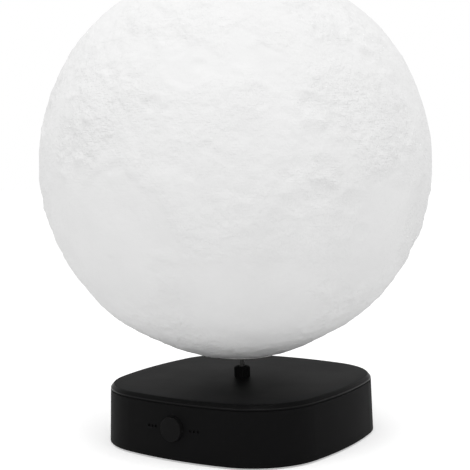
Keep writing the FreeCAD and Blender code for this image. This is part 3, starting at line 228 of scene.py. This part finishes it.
green_lacquer = finish("green board lacquer", (0.02, 0.16, 0.06), (0.012, 0.11, 0.045), (0.25, 0.4),
                       grain=700.0, patches=260.0, strength=0.2)
board_tree = green_lacquer.node_tree
board_place = add(board_tree, "ShaderNodeTexCoord").outputs["Object"]
tracks = add(board_tree, "ShaderNodeTexBrick",
             {"Vector": board_place, "Scale": 260.0, "Mortar Size": 0.05})
board_colour = board_tree.nodes["Principled BSDF"].inputs["Base Color"]
board_tree.links.new(mixed(board_tree, tracks.outputs["Fac"], board_colour.links[0].from_socket,
                           (0.035, 0.27, 0.09)), board_colour)
black_moulding = finish("plain black moulding", (0.018, 0.018, 0.018), (0.026, 0.026, 0.027), (0.3, 0.45),
                        grain=1500.0, patches=200.0)
nylon = finish("natural nylon", (0.72, 0.7, 0.64), (0.66, 0.64, 0.57), (0.4, 0.5), grain=1200.0,
               patches=150.0)
chip_resin = finish("clear chip resin", (0.78, 0.78, 0.72), (0.68, 0.67, 0.58), (0.12, 0.25), grain=900.0,
                    patches=500.0)
dress(green_lacquer, "control_board", "power_board")
dress(black_moulding, "tact_switch", "controller_chip", "power_parts", "board_spacers")
dress(nylon, "board_socket", "supply_socket")
dress(chip_resin, "indicator_chips")
dress(screw_steel, "board_screws", "power_board_screws")

# ---------------------------------------------------------------- power inlet in the back wall
# A black barrel socket sits in its window, a hair below the wall's face. The plug's sleeve fits its
# round bore, and the nickel-plated pin in the middle goes into the plug.

nickel = finish("nickel plated steel", (0.62, 0.6, 0.56), (0.5, 0.48, 0.45), (0.18, 0.32), metallic=1.0,
                grain=800.0, patches=160.0, strength=0.15)
dress(black_moulding, "power_inlet")
dress(nickel, "inlet_pin")

# ---------------------------------------------------------------- drive: bracket, gear motor and gears
# The flat can of the gear motor hangs from a plated steel bracket on four brass posts. Its small
# acetal pinion turns the large acetal wheel on the spindle, three turns for one.

brass = finish("machined brass", (0.75, 0.57, 0.27), (0.6, 0.43, 0.19), (0.2, 0.38), metallic=1.0,
               grain=900.0, patches=220.0, stretch=6.0, strength=0.2)
acetal = finish("natural acetal", (0.8, 0.79, 0.75), (0.74, 0.73, 0.68), (0.32, 0.42), grain=1400.0,
                patches=120.0)
dress(zinc, "drive_bracket")
dress(brass, "bracket_posts")
dress(nickel, "gear_motor")
dress(acetal, "drive_gear", "motor_pinion", "thrust_washer")
dress(screw_steel, "bracket_screws", "motor_screws")

# ---------------------------------------------------------------- bearings, spindle and brushes
# The spindle is a drawn steel tube with a brass core in a clear sleeve, so it carries both poles of
# the globe's supply. It turns in two sintered bronze bushes, and two brass leaves feed it from below.

DRAWN_ALONG = 0.04
drawn_steel = finish("drawn steel", (0.075, 0.074, 0.073), (0.05, 0.049, 0.048), (0.24, 0.36),
                     metallic=1.0, grain=2600.0, patches=240.0, stretch=DRAWN_ALONG, depth=0.00001,
                     strength=0.5)
sintered = finish("sintered bronze", (0.5, 0.33, 0.17), (0.38, 0.24, 0.12), (0.4, 0.6), metallic=1.0,
                  grain=4200.0, patches=400.0, strength=0.6)
clear_sleeve = finish("clear sleeve", (0.75, 0.75, 0.7), (0.7, 0.7, 0.66), (0.1, 0.2), grain=700.0)
dress(drawn_steel, "spindle_tube", "motor_shaft")
dress(sintered, "neck_bush", "lower_bush")
dress(clear_sleeve, "insulating_sleeve")
dress(brass, "spindle_core", "core_brush", "tube_brush")
dress(black_moulding, "brush_block")

# ---------------------------------------------------------------- leads inside the base
# Pairs of stranded wires in soft insulation run from socket to socket along the bottom plate: red
# where they carry the motor's and the adapter's supply, white where they go on to the globe.

red_insulation = finish("red insulation", (0.5, 0.02, 0.018), (0.4, 0.014, 0.012), (0.35, 0.5),
                        grain=900.0, patches=180.0)
white_insulation = finish("white insulation", (0.78, 0.77, 0.73), (0.7, 0.69, 0.64), (0.35, 0.5),
                          grain=900.0, patches=180.0)
dress(red_insulation, "motor_leads", "supply_leads")
dress(white_insulation, "brush_leads", "light_leads")

# ---------------------------------------------------------------- top cover with its bevelled edge
# The cover is moulded in the wall's black. A low rim continues the wall above a fine seam, then a
# bevelled band leads to the flat top. A lip inside the wall and four screw pillars place it. The rim's
# upper edge and the band come out of the tool smoother than the top.

cover_low, cover_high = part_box("top_cover")
cover_top = cover_high.z
housing_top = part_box("base_housing")[1].z
HALF_SIDE, CORNER_RADIUS, SIDE_RADIUS = 0.0558, 0.0336, 0.158
FOOT_PROUD, DRAFT = 0.0008, math.radians(1.9)
RIM_TALL, BAND_INSET = 0.0006, 0.0015
LIP_TALL, LIP_THICK, WALL_THICK, LIP_GAP = 0.002, 0.0012, 0.0022, 0.0002
top_inset = (housing_top - FOOT_PROUD) * math.tan(DRAFT)
rim_inset = top_inset + RIM_TALL * math.tan(DRAFT)
band_top_inset = rim_inset + BAND_INSET
lip_inset = top_inset + WALL_THICK + LIP_GAP


def outline_stations(per_side=14, per_corner=26):
    """Points round the base as (arc centre, direction, radius): four bowed sides and round corners."""
    side_centre = HALF_SIDE - SIDE_RADIUS
    reach = (2 * side_centre + math.sqrt(4 * side_centre ** 2 - 8 * (
        side_centre ** 2 - (SIDE_RADIUS - CORNER_RADIUS) ** 2))) / 4
    sweep = math.atan2(reach, reach - side_centre)
    stations = []
    for quarter in range(4):
        start = quarter * math.pi / 2
        along = Vector((math.cos(start), math.sin(start)))
        across = Vector((-math.sin(start), math.cos(start)))
        for centre, radius, first, last, steps in (
                (along * side_centre, SIDE_RADIUS, start - sweep, start + sweep, per_side),
                ((along + across) * reach, CORNER_RADIUS, start + sweep, start + math.pi / 2 - sweep,
                 per_corner)):
            for step in range(steps):
                angle = first + (last - first) * step / steps
                stations.append((centre, Vector((math.cos(angle), math.sin(angle))), radius))
    return stations


def outline_ring(inset, z):
    """The base's outline drawn in by an inset, at a height."""
    ring = []
    for centre, direction, radius in outline_stations():
        point = centre + direction * (radius - inset)
        ring.append(Vector((point.x, point.y, z)))
    return ring


def eased(corners, steps=4):
    """Rounds the corners of a profile; each is (inset, height, how far the rounding reaches)."""
    profile = []
    count = len(corners)
    for index, (inset, z, reach) in enumerate(corners):
        here = Vector((inset, z))
        if reach == 0.0:
            profile.append(here)
            continue
        before = Vector(corners[index - 1][:2])
        after = Vector(corners[(index + 1) % count][:2])
        enter = here + (before - here).normalized() * reach
        leave = here + (after - here).normalized() * reach
        for step in range(steps + 1):
            t = step / steps
            profile.append(enter * (1 - t) ** 2 + here * (2 * t * (1 - t)) + leave * t ** 2)
    return profile


def circle_ring(radius, z, count, x=0.0, y=0.0):
    return [Vector((x + radius * math.cos(2 * math.pi * step / count),
                    y + radius * math.sin(2 * math.pi * step / count), z)) for step in range(count)]


NECK_HOLE = 0.0026
cover_profile = eased([
    (lip_inset + LIP_THICK, housing_top, 0.0),
    (lip_inset + LIP_THICK, housing_top - LIP_TALL, 0.0001),
    (lip_inset, housing_top - LIP_TALL, 0.0001),
    (lip_inset, housing_top, 0.0),
    (top_inset + 0.00005, housing_top + 0.00002, 0.0),
    (top_inset, housing_top + 0.00012, 0.00006),
    (rim_inset, housing_top + RIM_TALL, 0.00028),
    (band_top_inset, cover_top, 0.0006),
    (band_top_inset + 0.004, cover_top, 0.0),
])


def drawn_to_hole(point, share):
    """A point of the flat top between its outline and the neck's hole."""
    spot = Vector((point.x, point.y)).normalized() * NECK_HOLE
    return point.lerp(Vector((spot.x, spot.y, point.z)), share)


cover_mesh = bmesh.new()
cover_rings = [outline_ring(inset, z) for inset, z in cover_profile]
top_ring = cover_rings[-1]
for share in (0.25, 0.5, 0.75, 1.0):
    cover_rings.append([drawn_to_hole(point, share) for point in top_ring])
cover_rings.append([Vector((point.x, point.y, housing_top)) for point in cover_rings[-1]])
skin(cover_mesh, cover_rings, closed=True)
PILLAR_REACH, PILLAR_RADIUS, PILOT_RADIUS, PILOT_DEEP = 0.0382, 0.0035, 0.00125, 0.01
pillar_top = housing_top - 0.0001
for side_x in (-1, 1):
    for side_y in (-1, 1):
        x, y = side_x * PILLAR_REACH, side_y * PILLAR_REACH
        skin(cover_mesh, [circle_ring(radius, z, 32, x, y) for radius, z in (
            (PILOT_RADIUS, housing_top - PILOT_DEEP), (PILOT_RADIUS, cover_low.z),
            (PILLAR_RADIUS, cover_low.z), (PILLAR_RADIUS, pillar_top), (NEAR_AXIS, pillar_top))])
cover = new_piece("bevelled_cover", cover_mesh, satin_black)
burnished = finish("burnished black edge", (0.0016, 0.0016, 0.0017), (0.0022, 0.0022, 0.0023),
                   (0.2, 0.28), specular=0.13, grain=MOULDED_GRAIN, patches=300.0, depth=0.00001,
                   strength=0.2)
smooth_black = finish("smooth black band", (0.004, 0.004, 0.0041), (0.0046, 0.0046, 0.0047),
                      (0.3, 0.38), specular=0.025, grain=MOULDED_GRAIN, patches=300.0,
                      depth=0.00001, strength=0.2)
cover.data.materials.append(burnished)
cover.data.materials.append(smooth_black)
EDGE_HIGH, EDGE_REACH = housing_top + RIM_TALL, 0.0002
for face in cover.data.polygons:
    if Vector((face.center.x, face.center.y)).length < PILLAR_REACH:
        continue
    if abs(face.center.z - EDGE_HIGH) < EDGE_REACH:
        face.material_index = 1
    elif EDGE_HIGH < face.center.z < cover_top - EDGE_REACH / 2:
        face.material_index = 2
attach(cover, "base")
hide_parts("top_cover")

# ---------------------------------------------------------------- fluted collar
# A black nylon nut with a fluted edge screws onto the neck bush and clamps it to the cover. The
# spindle comes out of its mouth without touching it.

collar_black = finish("matt black collar", (0.0105, 0.0105, 0.0105), (0.009, 0.009, 0.009),
                      (0.6, 0.7), specular=0.002, grain=2400.0, patches=300.0)
dress(collar_black, "neck_collar")

# ---------------------------------------------------------------- globe cap, its contacts and the light
# The cap closes the globe's mouth, and its stem drops over the spindle onto a brass ring and tip.
# An aluminium disc on the stem cools a small board of warm emitters under a milky dome.

cap_plastic = finish("pale cap moulding", (0.78, 0.775, 0.765), (0.73, 0.725, 0.715), (0.8, 0.9),
                     specular=0.08, grain=2200.0, patches=90.0)
turned_aluminium = finish("turned aluminium", (0.8, 0.8, 0.81), (0.7, 0.7, 0.72), (0.22, 0.36),
                          metallic=1.0, grain=1800.0, patches=240.0, strength=0.25)
white_lacquer = finish("white board lacquer", (0.82, 0.82, 0.8), (0.77, 0.77, 0.75), (0.3, 0.42),
                       grain=900.0, patches=160.0)
phosphor = finish("phosphor gel", (0.85, 0.62, 0.12), (0.78, 0.53, 0.08), (0.25, 0.4), grain=1600.0,
                  patches=900.0)
milky = finish("milky diffuser", (0.86, 0.86, 0.84), (0.82, 0.82, 0.8), (0.3, 0.4), grain=1400.0,
               patches=110.0)
dress(cap_plastic, "globe_cap")
dress(screw_steel, "cap_screws", "light_screws")
dress(brass, "ring_contact", "tip_contact")
dress(turned_aluminium, "heat_spreader")
dress(white_lacquer, "light_board")
dress(phosphor, "light_emitters")
dress(milky, "light_diffuser")

# ---------------------------------------------------------------- moon globe
# A thin shell printed in white plastic, layer on layer. Rough highlands, smooth seas and craters
# stand in relief of about a millimetre, and the layers leave fine level lines all over it.

globe_low, globe_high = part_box("moon_globe")
GLOBE_RADIUS = (globe_high.x - globe_low.x) / 2
GLOBE_MIDDLE = Vector((0.0, 0.0, globe_high.z - GLOBE_RADIUS))
GLOBE_WALL = 0.0018
SEAT_RADIUS, MOUTH_RADIUS, BOSS_RADIUS, BOSS_TALL = 0.0166, 0.0126, 0.019, 0.0065
cap_seat = globe_low.z + 0.00104
VIEW_TURN = math.radians(33.45)


def moon_direction(turn, rise):
    """A direction from the globe's middle: degrees to the right of the front and up from level."""
    across = VIEW_TURN + math.radians(turn)
    up = math.radians(rise)
    return Vector((math.sin(across) * math.cos(up), -math.cos(across) * math.cos(up), math.sin(up)))


SEAS = (
    (-15, 24, 9), (7, 27, 9), (47, -22, 20), (-52, -24, 22), (-34, -14, 13), (3, -42, 20),
    (100, 20, 24), (140, -15, 18), (175, 30, 22), (215, -8, 20), (255, 25, 17), (230, -45, 16),
)
HIGHLANDS = (
    (-36, 19, 17), (-46, 8, 9), (31, 18, 15), (42, 8, 13), (24, -5, 7), (-24, 42, 14), (35, 42, 15),
    (-80, 30, 18), (85, -25, 20), (125, 15, 18), (160, 0, 20), (195, 20, 18), (240, 0, 20),
    (-95, -20, 18),
)
DENTS = ((-71.0, 13.6, 0.0085, 0.0011), (66.0, -21.0, 0.024, 0.0009), (-60.0, -32.0, 0.022, 0.0005),
         (-22.8, 14.7, 0.0042, 0.0008), (-19.0, 13.4, 0.0028, 0.0006), (-19.1, 18.6, 0.003, 0.0005),
         (-10.6, 24.9, 0.0032, 0.0006), (-3.2, 15.4, 0.0026, 0.0004), (-8.2, 3.7, 0.0032, 0.0004),
         (0.8, -12.8, 0.0048, 0.0004), (-27.1, -28.3, 0.0024, 0.0006), (-40.2, -24.2, 0.0011, 0.0006),
         (30.3, -10.6, 0.0055, 0.0006), (35.3, -18.7, 0.004, 0.0006), (21.3, -8.3, 0.006, 0.0006),
         (52.0, 10.0, 0.0095, 0.0006), (44.0, 26.0, 0.007, 0.0005))
BUMPS = ((-43.2, 11.9, 0.0018, 0.0013), (-45.3, 1.6, 0.0023, 0.0018), (-52.7, -2.1, 0.0017, 0.0011),
         (54.0, 16.8, 0.003, 0.0008), (41.0, -1.0, 0.003, 0.0005), (18.4, -2.9, 0.0036, 0.0006))
SMALL_CRATERS = 900
SWELL_TALL, SEA_DEEP, ROUGH_TALL = 0.00028, 0.0003, 0.00034
CRATER_LEAST, CRATER_MOST = 0.0019, 0.0085
RELIEF_LOWEST, RELIEF_HIGHEST = -0.0015, 0.0018
LEAN_LEFT, FULLER_BELOW, DRAWN_IN = 0.0012, 0.0007, 0.0011
FULLER_FROM, FULLER_WHOLE, DRAWN_IN_AT, DRAWN_IN_REACH = 115.0, 150.0, 152.5, 8.0


def smooth_step(value, low, high):
    share = np.clip((value - low) / (high - low), 0.0, 1.0)
    return share * share * (3.0 - 2.0 * share)


def share_of(regions, points):
    """How far each direction lies in one of the regions, from 0 to 1, with ragged edges."""
    ragged = np.array([noise.fractal(Vector(point) * 3.1, 0.9, 2.1, 4) for point in points])
    share = np.zeros(len(points))
    for turn, rise, reach in regions:
        away = np.degrees(np.arccos(np.clip(points @ np.array(moon_direction(turn, rise)), -1.0, 1.0)))
        share = np.maximum(share, 1.0 - smooth_step(away + 9.0 * ragged, reach * 0.75, reach * 1.15))
    return share


def crater(points, middle, radius, deep):
    """A shallow bowl with a raised rim, as heights over all the points."""
    away = np.arccos(np.clip(points @ middle, -1.0, 1.0)) * GLOBE_RADIUS / radius
    near = away < 2.2
    height = np.zeros(len(points))
    bowl = np.where(away[near] < 1.0, np.maximum(away[near] ** 2 - 1.0, -0.75), 0.0)
    height[near] = deep * (bowl + 0.3 * np.exp(-((away[near] - 1.02) / 0.24) ** 2))
    return height


def relief(points, sea, calm):
    """Height of the moon's surface over the plain sphere, in metres."""
    swell = np.array([noise.fractal(Vector(point) * 2.4 + Vector((7, 3, 1)), 1.0, 2.0, 3)
                      for point in points])
    rough = np.array([noise.fractal(Vector(point) * 11.0, 0.55, 2.1, 5) for point in points])
    height = SWELL_TALL * swell - SEA_DEEP * sea
    height += ROUGH_TALL * rough * (1.75 - 1.95 * calm + 0.25 * calm ** 2)
    draw = np.random.RandomState(11)
    for _ in range(SMALL_CRATERS):
        middle = draw.normal(size=3)
        middle /= np.linalg.norm(middle)
        radius = min(CRATER_LEAST / draw.uniform(0.02, 1.0) ** 0.42, CRATER_MOST)
        keep = draw.uniform()
        calm_here = calm[np.argmax(points @ middle)]
        if keep < 1.6 * calm_here - 0.8:
            continue
        height += crater(points, middle, radius, (0.055 * radius + 0.00008) * (1.5 - 1.3 * calm_here))
    for turn, rise, radius, deep in DENTS:
        height += crater(points, np.array(moon_direction(turn, rise)), radius, deep)
    for turn, rise, radius, tall in BUMPS:
        away = np.arccos(np.clip(points @ np.array(moon_direction(turn, rise)), -1.0, 1.0))
        height += tall * np.exp(-(away * GLOBE_RADIUS / radius) ** 2)
    return np.clip(height, RELIEF_LOWEST, RELIEF_HIGHEST)


RINGS, SEGMENTS, INNER_RINGS = 228, 340, 26
mouth_fall = math.pi - math.asin(SEAT_RADIUS / GLOBE_RADIUS)
fall = np.linspace(0.0, mouth_fall, RINGS + 1)[1:]
turn = np.linspace(0.0, 2 * math.pi, SEGMENTS, endpoint=False)
fall_grid, turn_grid = np.meshgrid(fall, turn, indexing="ij")
directions = np.stack([np.sin(fall_grid) * np.cos(turn_grid), np.sin(fall_grid) * np.sin(turn_grid),
                       np.cos(fall_grid)], axis=-1).reshape(-1, 3)
sea = share_of(SEAS, directions)
calm = np.clip(0.5 + 0.5 * sea - 0.5 * share_of(HIGHLANDS, directions), 0.0, 1.0)
heights = relief(directions, sea, calm).reshape(RINGS, SEGMENTS)
to_left = np.array((-math.cos(VIEW_TURN), -math.sin(VIEW_TURN), 0.0))
leftward = (directions @ to_left).reshape(RINGS, SEGMENTS)
flank = (leftward / np.sin(fall)[:, None]) ** 2
below = np.degrees(fall)[:, None]
heights += LEAN_LEFT * leftward
heights += FULLER_BELOW * (1.0 - flank) * smooth_step(below, FULLER_FROM, FULLER_WHOLE)
heights -= DRAWN_IN * flank * np.exp(-((below - DRAWN_IN_AT) / DRAWN_IN_REACH) ** 2)
heights *= smooth_step(math.degrees(mouth_fall) - below, 0.5, 5.0)
spread_out = directions.reshape(RINGS, SEGMENTS, 3) * (GLOBE_RADIUS + heights)[..., None]
outer = spread_out + np.array(GLOBE_MIDDLE)

moon_mesh = bmesh.new()
inner_radius = GLOBE_RADIUS - GLOBE_WALL
boss_low = GLOBE_MIDDLE.z - math.sqrt(inner_radius ** 2 - BOSS_RADIUS ** 2)
moon_rings = [[Vector(point) for point in ring] for ring in outer]
for radius, z in ((SEAT_RADIUS, cap_seat), (MOUTH_RADIUS, cap_seat), (MOUTH_RADIUS, cap_seat + BOSS_TALL),
                  (BOSS_RADIUS, cap_seat + BOSS_TALL), (BOSS_RADIUS, boss_low)):
    moon_rings.append(circle_ring(radius, z, SEGMENTS))
inner_start = math.pi - math.asin(BOSS_RADIUS / inner_radius)
for step in range(1, INNER_RINGS):
    angle = inner_start * (1 - step / INNER_RINGS)
    moon_rings.append(circle_ring(inner_radius * math.sin(angle),
                                  GLOBE_MIDDLE.z + inner_radius * math.cos(angle), SEGMENTS))
moon_rows = skin(moon_mesh, moon_rings)
for row, z in ((moon_rows[0], GLOBE_MIDDLE.z + GLOBE_RADIUS + heights[0].mean()),
               (moon_rows[-1], GLOBE_MIDDLE.z + inner_radius)):
    pole = moon_mesh.verts.new((0.0, 0.0, z))
    for index in range(SEGMENTS):
        moon_mesh.faces.new((row[index], row[(index + 1) % SEGMENTS], pole))

printed_relief, given, result = new_group(
    "Printed Relief", {"Calm": 0.0, "Grit": 400.0, "Layers": 260.0}, ("Height",))
place = add(printed_relief, "ShaderNodeTexCoord").outputs["Object"]
regions = add(printed_relief, "ShaderNodeTexNoise",
              {"Vector": place, "Scale": 28.0, "Detail": 3.0, "Roughness": 0.6})
uneven = add(printed_relief, "ShaderNodeMapRange",
             {"Value": regions.outputs["Fac"], "From Min": 0.38, "From Max": 0.62, "To Min": 0.5})
rugged = add(printed_relief, "ShaderNodeMapRange",
             {"Value": given["Calm"], "To Min": 1.0, "To Max": 0.22})
force = add(printed_relief, "ShaderNodeMath",
            {0: uneven.outputs["Result"], 1: rugged.outputs["Result"]}, operation="MULTIPLY")
grit = add(printed_relief, "ShaderNodeTexNoise",
           {"Vector": place, "Scale": given["Grit"], "Detail": 3.0, "Roughness": 0.55})
level = add(printed_relief, "ShaderNodeVectorMath", {0: place, 1: (1.0, 1.0, 7.0)}, operation="MULTIPLY")
layers = add(printed_relief, "ShaderNodeTexNoise",
             {"Vector": level.outputs[0], "Scale": given["Layers"], "Detail": 2.0, "Roughness": 0.5})
pits = add(printed_relief, "ShaderNodeTexVoronoi", {"Vector": place, "Scale": 240.0}, feature="SMOOTH_F1")
bowls = add(printed_relief, "ShaderNodeMapRange",
            {"Value": pits.outputs["Distance"], "From Min": 0.05, "From Max": 0.42})
layered = add(printed_relief, "ShaderNodeMath",
              {0: layers.outputs["Fac"], 1: 0.25, 2: grit.outputs["Fac"]}, operation="MULTIPLY_ADD")
pitted = add(printed_relief, "ShaderNodeMath",
             {0: bowls.outputs["Result"], 1: 0.3, 2: layered.outputs[0]}, operation="MULTIPLY_ADD")
total = add(printed_relief, "ShaderNodeMath", {0: pitted.outputs[0], 1: force.outputs[0]},
            operation="MULTIPLY")
printed_relief.links.new(total.outputs[0], result["Height"])

moon_print = finish("white moon print", (0.835, 0.835, 0.835), (0.81, 0.81, 0.81), (0.8, 0.9),
                    specular=0.02, patches=45.0)
moon_tree = moon_print.node_tree
calm_share = add(moon_tree, "ShaderNodeAttribute", attribute_name="calm").outputs["Fac"]
moon_relief = add(moon_tree, "ShaderNodeGroup", node_tree=printed_relief)
moon_tree.links.new(calm_share, moon_relief.inputs["Calm"])
moon_bump = next(node for node in moon_tree.nodes if node.type == "BUMP")
moon_bump.inputs["Distance"].default_value = 0.002
moon_bump.inputs["Strength"].default_value = 0.55
moon_tree.links.new(moon_relief.outputs["Height"], moon_bump.inputs["Height"])

moon = new_piece("moon_shell", moon_mesh, moon_print, sharp_degrees=50.0)
smooth_places = moon.data.attributes.new("calm", "FLOAT", "POINT")
smooth_places.data.foreach_set("value", np.pad(calm, (0, len(moon.data.vertices) - len(calm))))
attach(moon, "globe")
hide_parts("moon_globe")

# ---------------------------------------------------------------- studio
# A white table in a white room, lit evenly, with one large soft lamp in front and above, and a small
# one on the left that draws a fine line along the edge of the base.

ROOM_LIGHT, TABLE_LIFT = 0.915, 0.36

floor_mesh = bmesh.new()
bmesh.ops.create_circle(floor_mesh, cap_ends=True, radius=6.0, segments=96)
floor_paper = bpy.data.materials.new("white paper floor")
floor_paper.use_nodes = True
floor_tree = floor_paper.node_tree
floor_tree.nodes.remove(floor_tree.nodes["Principled BSDF"])
paper = add(floor_tree, "ShaderNodeBsdfDiffuse", {"Color": (0.82, 0.82, 0.82, 1.0)})
ray = add(floor_tree, "ShaderNodeLightPath")
clear = add(floor_tree, "ShaderNodeMath",
            {0: ray.outputs["Is Camera Ray"], 1: ray.outputs["Is Transmission Ray"]}, operation="MAXIMUM")
shown = add(floor_tree, "ShaderNodeMath", {0: clear.outputs[0], 1: ray.outputs["Is Glossy Ray"]},
            operation="MAXIMUM")
seen = add(floor_tree, "ShaderNodeMath", {0: shown.outputs[0], 1: TABLE_LIFT}, operation="MULTIPLY")
lift = add(floor_tree, "ShaderNodeEmission", {"Color": (1.0, 1.0, 1.0, 1.0), "Strength": seen.outputs[0]})
together = add(floor_tree, "ShaderNodeAddShader", {0: paper.outputs[0], 1: lift.outputs[0]})
floor_tree.links.new(together.outputs[0], floor_tree.nodes["Material Output"].inputs["Surface"])
floor = new_piece("paper_floor", floor_mesh, floor_paper)

world = bpy.data.worlds.new("white room")
bpy.context.scene.world = world
world.use_nodes = True
room_tree = world.node_tree
ray = add(room_tree, "ShaderNodeLightPath")
clear = add(room_tree, "ShaderNodeMath",
            {0: ray.outputs["Is Camera Ray"], 1: ray.outputs["Is Transmission Ray"]}, operation="MAXIMUM")
shown = add(room_tree, "ShaderNodeMath", {0: clear.outputs[0], 1: ray.outputs["Is Glossy Ray"]},
            operation="MAXIMUM")
strength = add(room_tree, "ShaderNodeMapRange",
               {"Value": shown.outputs[0], "To Min": ROOM_LIGHT, "To Max": 1.0})
backdrop = room_tree.nodes["Background"]
backdrop.inputs["Color"].default_value = (1.0, 1.0, 1.0, 1.0)
room_tree.links.new(strength.outputs["Result"], backdrop.inputs["Strength"])


def soft_lamp(name, turn, rise, aim, distance, size, energy):
    """A round softbox that stands off in a direction and faces the point that it is aimed at."""
    lamp = bpy.data.lights.new(name, "AREA")
    lamp.shape = "DISK"
    lamp.size = size
    lamp.energy = energy
    lamp_object = bpy.data.objects.new(name.replace(" ", "_"), lamp)
    to_lamp = Vector((math.sin(turn) * math.cos(rise), -math.cos(turn) * math.cos(rise), math.sin(rise)))
    lamp_object.location = aim + to_lamp * distance
    lamp_object.rotation_euler = to_lamp.to_track_quat("Z", "Y").to_euler()
    bpy.context.scene.collection.objects.link(lamp_object)


front_edge = Vector((0.0, -HALF_SIDE, housing_top))
soft_lamp("front softbox", VIEW_TURN + math.radians(10), math.radians(65), GLOBE_MIDDLE,
          distance=1.2, size=0.6, energy=3.1)
soft_lamp("edge softbox", math.radians(-20), math.radians(52), front_edge,
          distance=0.8, size=0.17, energy=0.22)

# ---------------------------------------------------------------- camera
# It stands in front, to the right of the button and level with the globe's middle, and looks slightly
# down. The globe's top stays outside the picture.

CAMERA_DISTANCE, CAMERA_FALL, CAMERA_ROLL = 0.488, 0.066, -0.020
AIM_ACROSS, AIM_HEIGHT = -0.0021, 0.094
FOCAL_PIXELS, FRAME_PIXELS, SENSOR = 1043.0, 470.0, 36.0
camera = bpy.data.cameras.new("camera")
camera.sensor_width = SENSOR
camera.lens = FOCAL_PIXELS / FRAME_PIXELS * SENSOR
camera.clip_start = 0.01
camera_object = bpy.data.objects.new("camera", camera)
turned = Matrix.Rotation(VIEW_TURN, 4, "Z")
stand = turned @ Vector((AIM_ACROSS, -CAMERA_DISTANCE * math.cos(CAMERA_FALL),
                         AIM_HEIGHT + CAMERA_DISTANCE * math.sin(CAMERA_FALL)))
camera_object.matrix_world = (Matrix.Translation(stand) @ turned
                              @ Matrix.Rotation(math.pi / 2 - CAMERA_FALL, 4, "X")
                              @ Matrix.Rotation(CAMERA_ROLL, 4, "Z"))
bpy.context.scene.collection.objects.link(camera_object)
bpy.context.scene.camera = camera_object
bpy.context.scene.view_settings.view_transform = "Standard"
